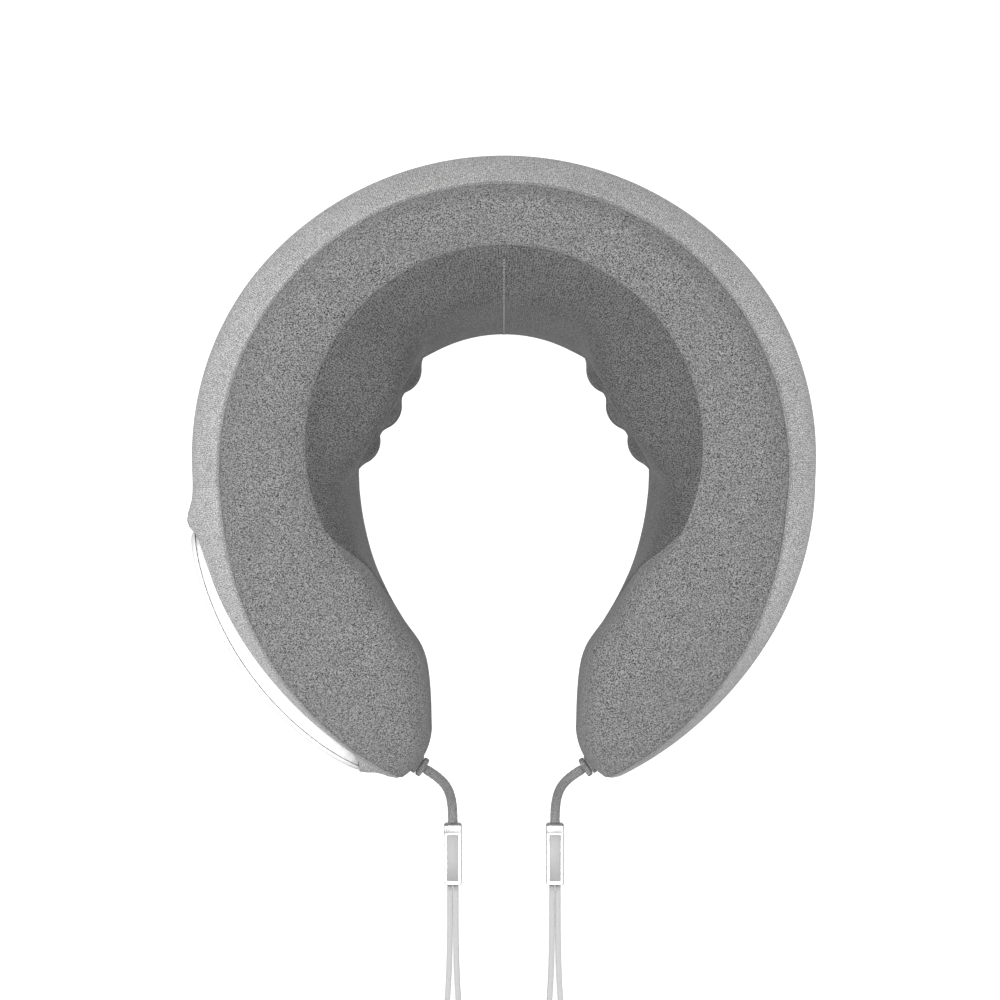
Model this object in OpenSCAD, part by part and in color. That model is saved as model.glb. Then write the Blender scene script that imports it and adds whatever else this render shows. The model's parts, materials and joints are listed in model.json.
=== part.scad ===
// U-shaped shiatsu neck massager: a soft cover over a curved frame with two
// four-node kneading heads, two flexing arms, a key pod and two hand straps.
// +Z is up, +Y is behind the neck, and the origin is the neck axis on the base plane.

/* [Body] */
// Radius of the neck opening at its waist
neck_r = 70; // [68:1:72]
// Radius of the outer wall beside the neck
outer_r = 149.5; // [148.5:0.5:150]
// Height of the top at the neck axis
mid_h = 98; // [96:1:100]
// Rise of the top towards the rear, per mm
top_slope = 0.133; // [0.12:0.005:0.14]
// Thickness of the cover fabric with its backing
cover_t = 1.6; // [1.2:0.2:1.8]
// Gap between two panels at a seam
seam_gap = 0.4; // [0.3:0.1:0.6]

/* [Flexing arms] */
// Widest opening of one arm
flex_max = 12; // [8:1:12]
// Distance of the flex pivot from the neck axis
flex_r = 130; // [128:1:131]
// Direction of the flex pivot from the rear
flex_phi = 94; // [93:0.5:95]
// Radius of the flex pin
flex_pin_r = 3; // [2.5:0.5:3]

/* [Kneading heads] */
// Direction of each head from the rear
head_phi = 60; // [59:0.5:61]
// Height of the head axis
head_z = 46; // [45:0.5:47]
// Distance from the neck axis to the tip of the fabric over a head
head_reach = 61; // [60:0.5:62]
// Number of massage nodes on one head
node_count = 4; // [3:1:4]
// Radius of the circle the nodes stand on
node_ring_r = 19.8; // [19:0.1:20]
// Radius of one massage node
node_r = 10.4; // [9:0.1:10.5]

/* [Drive] */
// Teeth on the worm wheel, which is also the reduction
wheel_teeth = 30; // [30:1:30]
// Module of the worm wheel
gear_m = 1.25; // [1.25:0.25:1.25]
// Pitch radius of the worm
worm_r = 5; // [5:0.5:5]
// Radius of the motor can
motor_r = 10; // [9:0.5:10]
// Length of the motor can
motor_len = 25; // [20:1:25]

/* [Key pod] */
// Height of the pod
pod_h = 42; // [40:1:44]
// Height of the pod's middle above the base
pod_z = 40; // [39:1:41]
// Travel of a key
key_travel = 0.8; // [0.5:0.1:1]
// Radius of a key
key_r = 5; // [4.5:0.1:5.2]

/* [Hand straps] */
// Length of a hand loop below its clasp
loop_len = 165; // [150:5:180]
// Radius of the fabric cord
cord_r = 2.35; // [2:0.05:2.5]
// Width of the strap webbing
strap_w = 10; // [9:0.5:10]
// Thickness of the strap webbing
strap_t = 3; // [2.5:0.1:3]

/* [Hidden] */
$fn = 48;
mesh_fn = 12;
clear = 0.3;
fit_gap = 0.02;
run_gap = 0.05;
eps = 0.01;
far = 400;

core_end = 93;
arm_start = 93.6;
arm_end = 160;
station_step = 7;
arm_step = 5.5;
foam_gap = 0.7;
foam_t = cover_t + foam_gap;
cap_bulge = 5.5;
cap_inset = 6;

frame_r = 112;
frame_t = 3;
frame_z0 = 6;
frame_z1 = 82;
foam_inner_r = 120;
foam_floor_z = 86;
core_foam_end = 88;
arm_foam_start = 100;

patch_r = 31.5;
patch_t = 1.2;
disc_x = 80;
disc_r = 27;
wheel_x = 92.5;
wheel_w = 4;
wheel_pitch_r = wheel_teeth * gear_m / 2;
worm_z = -(wheel_pitch_r + worm_r);
worm_pitch = PI * gear_m;
worm_turns = 6;
worm_len = worm_turns * worm_pitch;
shaft_r = 4;
worm_shaft_r = 2.5;
motor_y = 19;
box_x0 = 85.4;
box_x1 = 106;
box_y = 27;
box_z0 = -33;
box_z1 = 25;
box_wall = 2;

pod_cy = -5.2;
pod_r = 152.4;
pod_wall = 2.2;
pod_phi0 = 98;
pod_phi1 = 153;
pod_depth = 9;
// Extra width of the pod's window, as the straight-sided pod widens in angle inwards
pod_end_room = 2.5;
pod_room = 1.2;
key_phis = [129.5, 136, 142.5];
bezel_phi = 136;
bezel_w = 52;
bezel_h = 18;
usb_phi = 110;
lens_phi = 119.5;

tab_z = 30;
tab_along = 20.9;
clasp_w = 8.7;
clasp_l = 30;
clasp_h = 12;
clasp_x = 25;
clasp_y = -168.5;
clasp_z = 6.2;
loop_y = clasp_y - clasp_l - strap_w / 2 - clear;

// First and last section points of each panel
NECK_SIDE = [0, 5];
TOP_SIDE = [5, 8];
OUTER_SIDE = [8, 12];
BASE_SIDE = [12, 14];

// Lugs of the frame and the spine's eye between them, as height ranges
flex_lug_r = 7;
lug_run = (flex_phi - core_foam_end + 3) * PI / 180 * flex_r;
lug_z = [22, 30];
lug_z_top = [54, 62];
eye_z = [30.3, 53.7];

// Battery cells lie one above the other along X
cell_r = 9.25;
cell_l = 65;
cell_y = 94.8;
cell_zs = [22, 42];

// Middle of a massage node along the head's axis
node_x = head_reach + patch_t + clear + node_r;
node_pin_r = 3;

// Gearbox screws, as [along the worm, height] from the head's axis
SCREW_PLACES = [[-24, 22], [24, 22], [-24, -14]];
screw_r = 1.4;
boss_r = 3;

// Pod screws, as [direction, height from the pod's middle]
POD_SCREWS = [[103.5, 0], [124, 15], [124, -15], [147.5, 0]];
pod_screw_r = 1;
pod_boss_r = 2.4;
lens_r = 1.5;
usb_hole = [9.2, 3.4];
key_back = pod_r - 3.6;

// The chord across an arm's end, the way it faces, and where the strap leaves it
cap_near = polar(waist_r(arm_end + lead(arm_end)), arm_end + lead(arm_end));
cap_away = polar(wall_r(arm_end), arm_end);
cap_run = (cap_away - cap_near) / norm(cap_away - cap_near);
cap_out = [cap_run[1], -cap_run[0]];
tab_turn = atan2(cap_run[1], cap_run[0]);
tab_foot = cap_near + tab_along * cap_run + (cap_bulge + 0.3) * cap_out;
cord_start = tab_foot + (2.6 + cord_r) * cap_out;
// The barrel at the cord's upper end turns in the tab
barrel_r = 2.9;
barrel_h = 6.4;

// Bezier points of the cord, from the tab to the clasp
CORD_PATH = [
    [each cord_start, tab_z],
    [each cord_start + 12 * cap_out, tab_z - 4],
    [clasp_x, clasp_y + 16, clasp_z],
    [clasp_x, clasp_y + clear, clasp_z]
];

SIDES = ["left", "right"];

// ---- Outline: radii and heights as functions of the direction a from the rear ----

function above(a, start, span) = max(0, (a - start) / span);
function waist_r(a) = neck_r + 26 * pow(above(a, 95, 69), 2) + 29 * pow(above(a, 148, 15.8), 3.4);
function wall_r(a) =
    outer_r + 4.7 * sin(2 * (90 - max(45, min(a, 90)))) + 5.5 * pow(above(a, 120, 40), 2);
function seam_out_r(a) = outer_r - 14.5 + 3.3 * cos(a) + 20 * pow(above(a, 95, 65), 1.3);
function seam_in_r(a) =
    15.5 * cos(a) + sqrt(pow(93, 2) - pow(15.5 * sin(a), 2)) - 10 * pow(above(a, 110, 35), 2);
function lead(a) = 3.5 * pow(above(a, 96, 64), 2);
function top_z(y) = mid_h + top_slope * y;
// The top falls away over the last few degrees of an arm
function end_drop(a) = 1 - 0.13 * pow(min(1, above(a, 147, 13)), 2.5);
function polar(r, a) = [r * sin(a), r * cos(a)];

// One cross-section, as [distance from the neck axis, height], up the neck side and
// round over the top
function section(a) =
    let (
        b = abs(a) + lead(abs(a)),
        w = waist_r(b),
        o = wall_r(abs(a)),
        d = seam_out_r(abs(a)),
        c = max(seam_in_r(b), w + 8),
        zc = top_z(c * cos(b)) * end_drop(b),
        zd = top_z(d * cos(a)) * end_drop(abs(a))
    )
    [
        [w + 5, 9],
        [w + 0.8, 24],
        [w, min(42, 0.5 * zc)],
        [w + 0.1 * (c - w), 0.56 * zc],
        [w + 0.4 * (c - w), 0.8 * zc],
        [c, zc - 3],
        [c + 0.3 * (d - c), zc + 1.5],
        [c + 0.7 * (d - c), zd + 1],
        [d, zd - 5],
        [o - 2.2, 0.68 * zd],
        [o, 0.42 * zd],
        [o - 2.5, 14],
        [o - 12, 0],
        [w + 15, 0]
    ];

// A closed loop of points moved inwards by t
function inset(pts, t) =
    let (n = len(pts))
    [
        for (i = [0:n - 1])
            let (run = pts[(i + 1) % n] - pts[(i + n - 1) % n])
            pts[i] + t * [run[1], -run[0]] / norm(run)
    ];

function shortened(pts, gap) =
    let (n = len(pts), first = pts[1] - pts[0], last = pts[n - 2] - pts[n - 1])
    [
        for (i = [0:n - 1])
            i == 0 ? pts[0] + gap * first / norm(first)
                : i == n - 1 ? pts[n - 1] + gap * last / norm(last) : pts[i]
    ];

// The closed outline of one panel at station a, between two section points
function panel_section(a, side) =
    let (
        full = section(a),
        deep = inset(full, cover_t),
        n = len(full),
        ids = [for (i = [side[0]:side[1]]) i % n],
        outer = shortened([for (i = ids) full[i]], seam_gap / 2),
        inner = shortened([for (i = ids) deep[i]], seam_gap / 2)
    )
    concat(outer, [for (i = [len(inner) - 1:-1:0]) inner[i]]);

// Stands a section's points up in the vertical plane of station a
function stand(pts, a) =
    let (
        s = sign(a) < 0 ? -1 : 1,
        w = waist_r(abs(a) + lead(abs(a))),
        o = wall_r(abs(a)),
        near = polar(w, a + s * lead(abs(a))),
        away = polar(o, a),
        run = (away - near) / (o - w)
    )
    [for (p = pts) [each near + (p[0] - w) * run, p[1]]];

// Closed skin over rings of equal length; each ring is a closed loop
module skin(rings) {
    n = len(rings[0]);
    last = len(rings) - 1;
    sides = [
        for (k = [0:last - 1], i = [0:n - 1])
            let (a = k * n + i, b = k * n + (i + 1) % n)
            each [[a, b, b + n], [a, b + n, a + n]]
    ];
    caps = [[for (i = [n - 1:-1:0]) i], [for (i = [0:n - 1]) last * n + i]];
    polyhedron([for (ring = rings) each ring], concat(sides, caps), convexity = 6);
}

function stations(from, to, step = station_step) =
    let (n = ceil((to - from) / step))
    [for (i = [0:n]) from + (to - from) * i / n];

// Stations of an arm's pieces, which share all but their first and last ones
function arm_stations(from, to) =
    concat(
        [from],
        [for (a = [core_end + 3 : arm_step : arm_end - 1]) if (a > from + 1 && a < to - 1) a],
        [to]
    );

// The end of an arm swells a little beyond its last station
function cap_ring() =
    [
        for (p = stand(inset(section(arm_end), cap_inset), arm_end))
            p + [each cap_bulge * cap_out, 0]
    ];

module ring_sector(r0, r1, z0, z1, from, to) {
    rotate([0, 0, 90 - to])
        rotate_extrude(angle = to - from, $fn = 96)
            translate([r0, z0])
                square([r1 - r0, z1 - z0]);
}

// Left-hand parts are the right-hand ones mirrored
module on_side(side) {
    mirror([side == "left" ? 1 : 0, 0, 0])
        children();
}

// ---- Frame and things fixed to it ----

module flex_axis(r, z0, z1) {
    translate([each polar(flex_r, flex_phi), z0])
        cylinder(r = r, h = z1 - z0);
}

// A block that runs radially at direction a, from r0 to r1, and w wide
module radial_bar(a, r0, r1, w, z) {
    rotate([0, 0, 90 - a])
        translate([r0, -w / 2, z[0]])
            cube([r1 - r0, w, z[1] - z[0]]);
}

module chassis_lug(z) {
    difference() {
        union() {
            flex_axis(flex_lug_r, z[0], z[1]);
            radial_bar(core_foam_end - 3, frame_r + 1, flex_r + 2, 8, z);
            translate([each polar(flex_r, flex_phi), z[0]])
                rotate([0, 0, -flex_phi])
                    translate([-lug_run, -4, 0])
                        cube([lug_run, 8, z[1] - z[0]]);
        }
        flex_axis(flex_pin_r + fit_gap, z[0] - 1, z[1] + 1);
    }
}

module frame_chassis() {
    shelf_r = 90;
    shelf_z = 3.4;
    color("dimgray")
        union() {
            rotate([0, 0, 90 - core_foam_end])
                rotate_extrude(angle = 2 * core_foam_end, $fn = 96)
                    polygon([
                        [shelf_r, shelf_z],
                        [frame_r + frame_t, shelf_z],
                        [frame_r + frame_t, frame_z1],
                        [frame_r, frame_z1],
                        [frame_r, frame_z0],
                        [shelf_r, frame_z0]
                    ]);
            for (side = SIDES, z = [lug_z, lug_z_top])
                on_side(side)
                    chassis_lug(z);
        }
}

module core_foam() {
    // Room for the flex lugs at both ends
    pocket_r = [foam_inner_r - 1, flex_r + 12];
    pocket_z = [18, 66];
    pocket_phi = [82, 95];
    color("gainsboro")
        difference() {
            skin([
                for (a = stations(-core_foam_end, core_foam_end, 8))
                    stand(inset(section(a), foam_t), a)
            ]);
            translate([0, 0, -1])
                cylinder(r = foam_inner_r, h = foam_floor_z + 1, $fn = 96);
            for (side = SIDES)
                on_side(side)
                    ring_sector(
                        pocket_r[0], pocket_r[1], pocket_z[0], pocket_z[1],
                        pocket_phi[0], pocket_phi[1]
                    );
        }
}

module core_panel(side, shade) {
    color(shade)
        skin([for (a = stations(-core_end, core_end)) stand(panel_section(a, side), a)]);
}

module top_panel() {
    core_panel(TOP_SIDE, "darkgray");
}

module outer_band() {
    core_panel(OUTER_SIDE, "silver");
}

module bottom_panel() {
    core_panel(BASE_SIDE, "gray");
}

module inner_panel() {
    color("dimgray")
        difference() {
            skin([for (a = stations(-core_end, core_end)) stand(panel_section(a, NECK_SIDE), a)]);
            for (side = SIDES)
                on_side(side)
                    at_head()
                        rotate([0, 90, 0])
                            cylinder(r = patch_r + clear, h = 110);
        }
}

module battery_cells() {
    color("royalblue")
        for (z = cell_zs)
            translate([-cell_l / 2, cell_y, z])
                rotate([0, 90, 0])
                    cylinder(r = cell_r, h = cell_l);
}

module battery_tray() {
    end_wall = 1.5;
    side_wall = 2;
    tray_z = [10, 50];
    color("black")
        difference() {
            translate([-cell_l / 2 - end_wall - clear, cell_y - cell_r - side_wall, tray_z[0]])
                cube([
                    cell_l + 2 * (end_wall + clear),
                    2 * (cell_r + side_wall),
                    tray_z[1] - tray_z[0]
                ]);
            translate([-cell_l / 2 - clear, cell_y - cell_r - side_wall - 1, cell_zs[1]])
                cube([cell_l + 2 * clear, 2 * (cell_r + side_wall + 1), 20]);
            for (z = cell_zs)
                translate([-cell_l / 2 - clear, cell_y, z])
                    rotate([0, 90, 0])
                        cylinder(r = cell_r + clear, h = cell_l + 2 * clear);
        }
}

module main_board() {
    board = [56, 24, 1.6];
    corner = [-board[0] / 2, 84, 56];
    chip = [10, 9, 3];
    chip_xs = [6, 22, 40];
    chip_y = 7;
    color("darkgreen")
        translate(corner) {
            cube(board);
            for (x = chip_xs)
                translate([x, chip_y, board[2] - eps])
                    cube(chip);
        }
}

module heating_film() {
    film_r = 74.8;
    film_t = 0.5;
    half_arc = 20;
    color("orange")
        ring_sector(film_r, film_r + film_t, 24, 50, -half_arc, half_arc);
}

module wire_harness() {
    ribbon_r = 108.4;
    ribbon_t = 1.2;
    ribbon_z = [73.5, 77.5];
    drop_inset = 0.2;
    drops = [[-22, 36], [0, 61], [22, 36]];
    color("red")
        union() {
            ring_sector(ribbon_r, ribbon_r + ribbon_t, ribbon_z[0], ribbon_z[1], -84, 84);
            for (drop = drops)
                ring_sector(
                    ribbon_r + drop_inset, ribbon_r + ribbon_t - drop_inset,
                    drop[1], ribbon_z[0] + 1, drop[0] - 1, drop[0] + 1
                );
        }
}

// ---- Kneading heads: local +X points away from the neck axis ----

module at_head() {
    translate([0, 0, head_z])
        rotate([0, 0, 90 - head_phi])
            children();
}

module spun_about_x() {
    rotate([0, 90, 0])
        rotate_extrude()
            children();
}

module node_places() {
    for (i = [0:node_count - 1])
        rotate([i * 360 / node_count, 0, 0])
            translate([0, 0, node_ring_r])
                children();
}

module stretch_patch() {
    skirt_x = 75;
    bend = 5;
    color("slategray")
        at_head()
            spun_about_x()
                polygon([
                    [0, head_reach],
                    [patch_r - bend, head_reach],
                    [patch_r, head_reach + bend],
                    [patch_r, skirt_x],
                    [patch_r - patch_t, skirt_x],
                    [patch_r - patch_t, head_reach + bend + patch_t / 2],
                    [patch_r - bend - patch_t / 2, head_reach + patch_t],
                    [0, head_reach + patch_t]
                ]);
}

module massage_nodes() {
    arc_step = 7.5;
    stem_r = 7;
    socket_r = node_pin_r + fit_gap;
    foot = disc_x - node_x - fit_gap;
    color("whitesmoke")
        at_head()
            node_places()
                translate([node_x, 0, 0])
                    spun_about_x()
                        polygon([
                            for (q = [-90:arc_step:0]) node_r * [cos(q), sin(q)],
                            [stem_r, foot],
                            [socket_r, foot],
                            [socket_r, 0],
                            [0, 0]
                        ]);
}

module head_disc() {
    hub_r = 9;
    color("dimgray")
        at_head()
            difference() {
                union() {
                    spun_about_x()
                        polygon([
                            [0, disc_x],
                            [disc_r - 1, disc_x],
                            [disc_r, disc_x + 1],
                            [disc_r, disc_x + 3],
                            [hub_r, disc_x + 4],
                            [0, disc_x + 4]
                        ]);
                    node_places()
                        translate([node_x + fit_gap, 0, 0])
                            rotate([0, 90, 0])
                                cylinder(r = node_pin_r, h = disc_x - node_x + 1);
                }
                rotate([0, 90, 0])
                    translate([0, 0, disc_x - 1])
                        cylinder(r = shaft_r + fit_gap, h = 10);
            }
}

module head_shaft() {
    color("silver")
        at_head()
            rotate([0, 90, 0])
                translate([0, 0, disc_x - 0.5])
                    cylinder(r = shaft_r, h = box_x1 - 1 - disc_x);
}

module worm_wheel() {
    root_r = wheel_pitch_r - 1.25 * gear_m;
    tip_r = wheel_pitch_r + gear_m;
    step = 360 / wheel_teeth;
    // Half angles of one tooth at its root, pitch line and tip
    root_a = 3.6;
    pitch_a = 2.1;
    tip_a = 0.8;
    hub_r = 8;
    color("ivory")
        at_head()
            difference() {
                union() {
                    translate([wheel_x - wheel_w / 2, 0, 0])
                        rotate([0, 90, 0])
                            linear_extrude(wheel_w)
                                polygon([
                                    for (i = [0:wheel_teeth - 1])
                                        let (a = (i + 0.5) * step)
                                        each [
                                            polar(root_r, 90 - a + root_a),
                                            polar(wheel_pitch_r, 90 - a + pitch_a),
                                            polar(tip_r, 90 - a + tip_a),
                                            polar(tip_r, 90 - a - tip_a),
                                            polar(wheel_pitch_r, 90 - a - pitch_a),
                                            polar(root_r, 90 - a - root_a)
                                        ]
                                ]);
                    translate([wheel_x - wheel_w / 2 - 1.2, 0, 0])
                        rotate([0, 90, 0])
                            cylinder(r = hub_r, h = wheel_w + 4);
                }
                translate([wheel_x - 10, 0, 0])
                    rotate([0, 90, 0])
                        cylinder(r = shaft_r + fit_gap, h = 20);
            }
}

module along_worm(y) {
    translate([wheel_x, y, worm_z])
        rotate([-90, 0, 0])
            children();
}

module worm() {
    crest = 1.3;
    color("goldenrod")
        at_head() {
            translate([wheel_x, 0, worm_z])
                rotate([0, -90, -90])
                    linear_extrude(
                        worm_len,
                        center = true,
                        twist = 360 * worm_turns,
                        slices = mesh_fn * worm_turns,
                        $fn = mesh_fn
                    )
                        translate([crest, 0])
                            circle(r = worm_r - 0.2, $fn = mesh_fn);
            along_worm(worm_len / 2 - eps)
                cylinder(r = worm_shaft_r, h = motor_y - worm_len / 2 + 6);
            along_worm(-worm_len / 2 - 6)
                cylinder(r = worm_shaft_r, h = 6 + eps);
        }
}

module motor() {
    color("silver")
        at_head()
            difference() {
                union() {
                    along_worm(motor_y)
                        cylinder(r = motor_r, h = motor_len);
                    along_worm(motor_y + motor_len - eps)
                        cylinder(r = 5, h = 3);
                }
                along_worm(motor_y - 1)
                    cylinder(r = worm_shaft_r + run_gap, h = 9);
            }
}

module gearbox_block(x0, x1, margin) {
    translate([x0, -box_y + margin, box_z0 + margin])
        cube([x1 - x0, 2 * (box_y - margin), box_z1 - box_z0 - 2 * margin]);
}

module screw_places() {
    for (p = SCREW_PLACES)
        translate([0, p[0], p[1]])
            rotate([0, 90, 0])
                children();
}

module gearbox_base() {
    color("gray")
        at_head()
            difference() {
                union() {
                    difference() {
                        gearbox_block(box_x0 + box_wall, box_x1, 0);
                        gearbox_block(box_x0 + box_wall - 1, box_x1 - box_wall, box_wall);
                    }
                    translate([box_x0 + box_wall, 0, 0])
                        screw_places()
                            cylinder(r = boss_r, h = box_x1 - box_x0 - box_wall);
                    translate([box_x1 - box_wall - 3, 0, 0])
                        rotate([0, 90, 0])
                            cylinder(r = 8, h = 3 + eps);
                }
                screw_places()
                    cylinder(r = screw_r, h = box_x0 + 14);
                translate([box_x0, 0, 0])
                    rotate([0, 90, 0])
                        cylinder(r = shaft_r + run_gap, h = far);
                along_worm(-box_y - 1)
                    cylinder(r = worm_shaft_r + run_gap, h = 10);
                along_worm(motor_y)
                    cylinder(r = motor_r + clear, h = 20);
                along_worm(worm_len / 2 + 2)
                    cylinder(r = 4.5, h = 20);
            }
}

module gearbox_cover() {
    color("darkgray")
        at_head()
            difference() {
                gearbox_block(box_x0, box_x0 + box_wall - fit_gap, 0);
                translate([box_x0 - 1, 0, 0])
                    rotate([0, 90, 0])
                        cylinder(r = shaft_r + run_gap, h = 5);
                translate([box_x0 - 1, 0, 0])
                    screw_places()
                        cylinder(r = screw_r + 0.2, h = 5);
                along_worm(motor_y)
                    cylinder(r = motor_r + clear, h = 20);
                along_worm(-worm_len / 2 - 1.5)
                    cylinder(r = worm_r + 1.3, h = worm_len + 3);
            }
}

module gearbox_screws() {
    head_h = 1;
    color("silver")
        for (side = SIDES)
            on_side(side)
                at_head()
                    screw_places() {
                        translate([0, 0, box_x0 - head_h - fit_gap])
                            cylinder(r = 2.6, h = head_h);
                        translate([0, 0, box_x0 - head_h - fit_gap + eps])
                            cylinder(r = screw_r - fit_gap, h = 13);
                    }
}

// ---- Flexing arms ----

// Plan of an arm's spine: the bar along the arm, then the eye that turns on the flex pin
function spine_plan() =
    let (
        far_end = 150,
        bar_half = 1.5,
        eye_open = 26,
        along = [cos(flex_phi), -sin(flex_phi)],
        out = [sin(flex_phi), cos(flex_phi)]
    )
    concat(
        [for (a = [arm_foam_start - bar_half : 1.5 : far_end]) polar(frame_r, a)],
        [for (a = [far_end : -1.5 : arm_foam_start + bar_half]) polar(frame_r + frame_t, a)],
        [polar(flex_r + 3.7, arm_foam_start + bar_half)],
        [for (q = [eye_open : (360 - 2 * eye_open) / 20 : 360 - eye_open])
            polar(flex_r, flex_phi) + flex_lug_r * (cos(q) * along + sin(q) * out)],
        [polar(flex_r - 2.3, arm_foam_start - bar_half)]
    );

module arm_spine() {
    color("dimgray")
        difference() {
            translate([0, 0, eye_z[0]])
                linear_extrude(eye_z[1] - eye_z[0])
                    polygon(spine_plan());
            flex_axis(flex_pin_r + run_gap, 0, 90);
        }
}

module flex_pin() {
    color("silver")
        flex_axis(flex_pin_r, lug_z[0], lug_z_top[1]);
}

// Room in an arm's foam for the spine and for its bar out to the flex pin
module spine_slot() {
    near = core_end + 2;
    bar_room = arm_foam_start + 2;
    slot_end = 151;
    translate([0, 0, eye_z[0] - clear])
        linear_extrude(eye_z[1] - eye_z[0] + 2 * clear)
            polygon(concat(
                [for (a = [near : 1.5 : slot_end]) polar(frame_r - clear, a)],
                [for (a = [slot_end : -1.5 : bar_room]) polar(frame_r + frame_t + clear, a)],
                [polar(flex_r + 5, bar_room), polar(flex_r + 5, near)]
            ));
}

// Clears the outer wall beyond the pivot, so that the arm can open
module flex_wedge() {
    pivot = polar(flex_r, flex_phi - 1.2);
    translate([0, 0, -5])
        linear_extrude(140)
            polygon([
                pivot,
                pivot + polar(80, core_end - 3),
                pivot + polar(80, core_end + flex_max + 3)
            ]);
}

module pod_window() {
    translate([0, pod_cy, 0])
        ring_sector(
            pod_r - pod_depth - pod_room, pod_r + 30,
            pod_z - pod_h / 2 - pod_room, pod_z + pod_h / 2 + pod_room,
            pod_phi0 - pod_end_room, pod_phi1 + pod_end_room
        );
}

module arm_foam_solid() {
    rings = [
        for (a = arm_stations(arm_foam_start, arm_end - 1.5))
            stand(inset(section(a), foam_t), a)
    ];
    difference() {
        skin(rings);
        spine_slot();
    }
}

module left_arm_foam() {
    color("gainsboro")
        on_side("left")
            difference() {
                arm_foam_solid();
                pod_window();
            }
}

module right_arm_foam() {
    color("gainsboro")
        arm_foam_solid();
}

module arm_cover_solid() {
    places = arm_stations(arm_start, arm_end);
    hollow = arm_stations(arm_start - 2, arm_end - 1);
    difference() {
        skin(concat([for (a = places) stand(section(a), a)], [cap_ring()]));
        skin([for (a = hollow) stand(inset(section(a), cover_t), a)]);
        flex_wedge();
    }
}

module left_arm_cover() {
    color("darkgray")
        on_side("left")
            difference() {
                arm_cover_solid();
                pod_window();
            }
}

module right_arm_cover() {
    color("darkgray")
        arm_cover_solid();
}

// ---- Key pod on the outer wall of the left arm ----

module pod_place(phi) {
    on_side("left")
        translate([0, pod_cy, pod_z])
            rotate([0, 0, 90 - phi])
                children();
}

module pod_sector(r0, r1, z0, z1, from, to) {
    on_side("left")
        translate([0, pod_cy, 0])
            ring_sector(r0, r1, z0, z1, from, to);
}

// A curved slab with half-round ends, between two radii
module pod_slab(r0, r1, margin) {
    mid_phi = (pod_phi0 + pod_phi1) / 2;
    half_h = pod_h / 2 - margin;
    half_l = pod_r * sin((pod_phi1 - pod_phi0) / 2) - margin;
    end_steps = 12;
    end_arc = [
        for (i = [0:end_steps])
            let (q = -90 + 180 * i / end_steps)
            [half_l - half_h + half_h * cos(q), half_h * sin(q)]
    ];
    intersection() {
        pod_sector(r0, r1, pod_z - pod_h, pod_z + pod_h, pod_phi0 - 5, pod_phi1 + 5);
        pod_place(mid_phi)
            rotate([90, 0, 90])
                linear_extrude(2 * pod_r)
                    polygon(concat(end_arc, -1 * end_arc));
    }
}

module bezel_block(x0, x1, margin) {
    pod_place(bezel_phi)
        translate([x0, -bezel_w / 2 - margin, -bezel_h / 2 - margin])
            cube([x1 - x0, bezel_w + 2 * margin, bezel_h + 2 * margin]);
}

module pod_screw_places() {
    for (p = POD_SCREWS)
        pod_place(p[0])
            translate([0, 0, p[1]])
                rotate([0, 90, 0])
                    children();
}

module pod_shell() {
    color("white")
        difference() {
            union() {
                pod_slab(pod_r - pod_wall, pod_r, 0.3);
                pod_screw_places()
                    translate([0, 0, pod_r - pod_wall - 3])
                        cylinder(r = pod_boss_r, h = 4);
            }
            bezel_block(pod_r - 12, pod_r + 6, clear / 2);
            pod_place(usb_phi)
                translate([pod_r - 6, -usb_hole[0] / 2, -usb_hole[1] / 2])
                    cube([12, usb_hole[0], usb_hole[1]]);
            pod_place(lens_phi)
                rotate([0, 90, 0])
                    translate([0, 0, pod_r - 6])
                        cylinder(r = lens_r + run_gap, h = 12);
            pod_screw_places()
                translate([0, 0, pod_r - pod_depth])
                    cylinder(r = pod_screw_r, h = pod_depth - 1);
        }
}

module pod_base() {
    back_r = pod_r - pod_depth;
    color("gainsboro")
        difference() {
            pod_slab(back_r, pod_r - pod_wall - clear, 1);
            pod_slab(back_r + 1.6, pod_r, 2.6);
            pod_screw_places()
                translate([0, 0, pod_r - 20])
                    cylinder(r = pod_screw_r + clear, h = 20);
        }
}

module pod_screws() {
    color("silver")
        pod_screw_places()
            translate([0, 0, pod_r - pod_depth - 1])
                union() {
                    cylinder(r = 2 * pod_screw_r, h = 0.9);
                    translate([0, 0, 0.5])
                        cylinder(r = pod_screw_r - fit_gap, h = 7);
                }
}

module key_places() {
    for (phi = key_phis)
        pod_place(phi)
            rotate([0, 90, 0])
                children();
}

module key_bezel() {
    bezel_t = 2;
    proud = 0.5;
    color("black")
        difference() {
            intersection() {
                bezel_block(pod_r - 6, pod_r + 4, 0);
                pod_sector(pod_r - bezel_t, pod_r + proud, 0, 90, 120, 152);
            }
            key_places()
                translate([0, 0, pod_r - pod_depth])
                    cylinder(r = key_r + 0.2, h = 20);
        }
}

module key_board() {
    board = [1, 48, 15];
    board_x = pod_r - pod_depth + 1.9;
    color("darkgreen")
        pod_place(bezel_phi)
            translate([board_x, -board[1] / 2, -board[2] / 2])
                cube(board);
}

module key(phi) {
    proud = key_travel + 0.1;
    tip_r = 1.5;
    color("dimgray")
        pod_place(phi)
            rotate([0, 90, 0])
                union() {
                    translate([0, 0, key_back])
                        cylinder(r = key_r, h = pod_r + proud - key_back);
                    translate([0, 0, key_back - 0.3])
                        cylinder(r = tip_r, h = 1);
                }
}

module power_button() {
    key(key_phis[0]);
}

module mode_button() {
    key(key_phis[1]);
}

module heat_button() {
    key(key_phis[2]);
}

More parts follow.
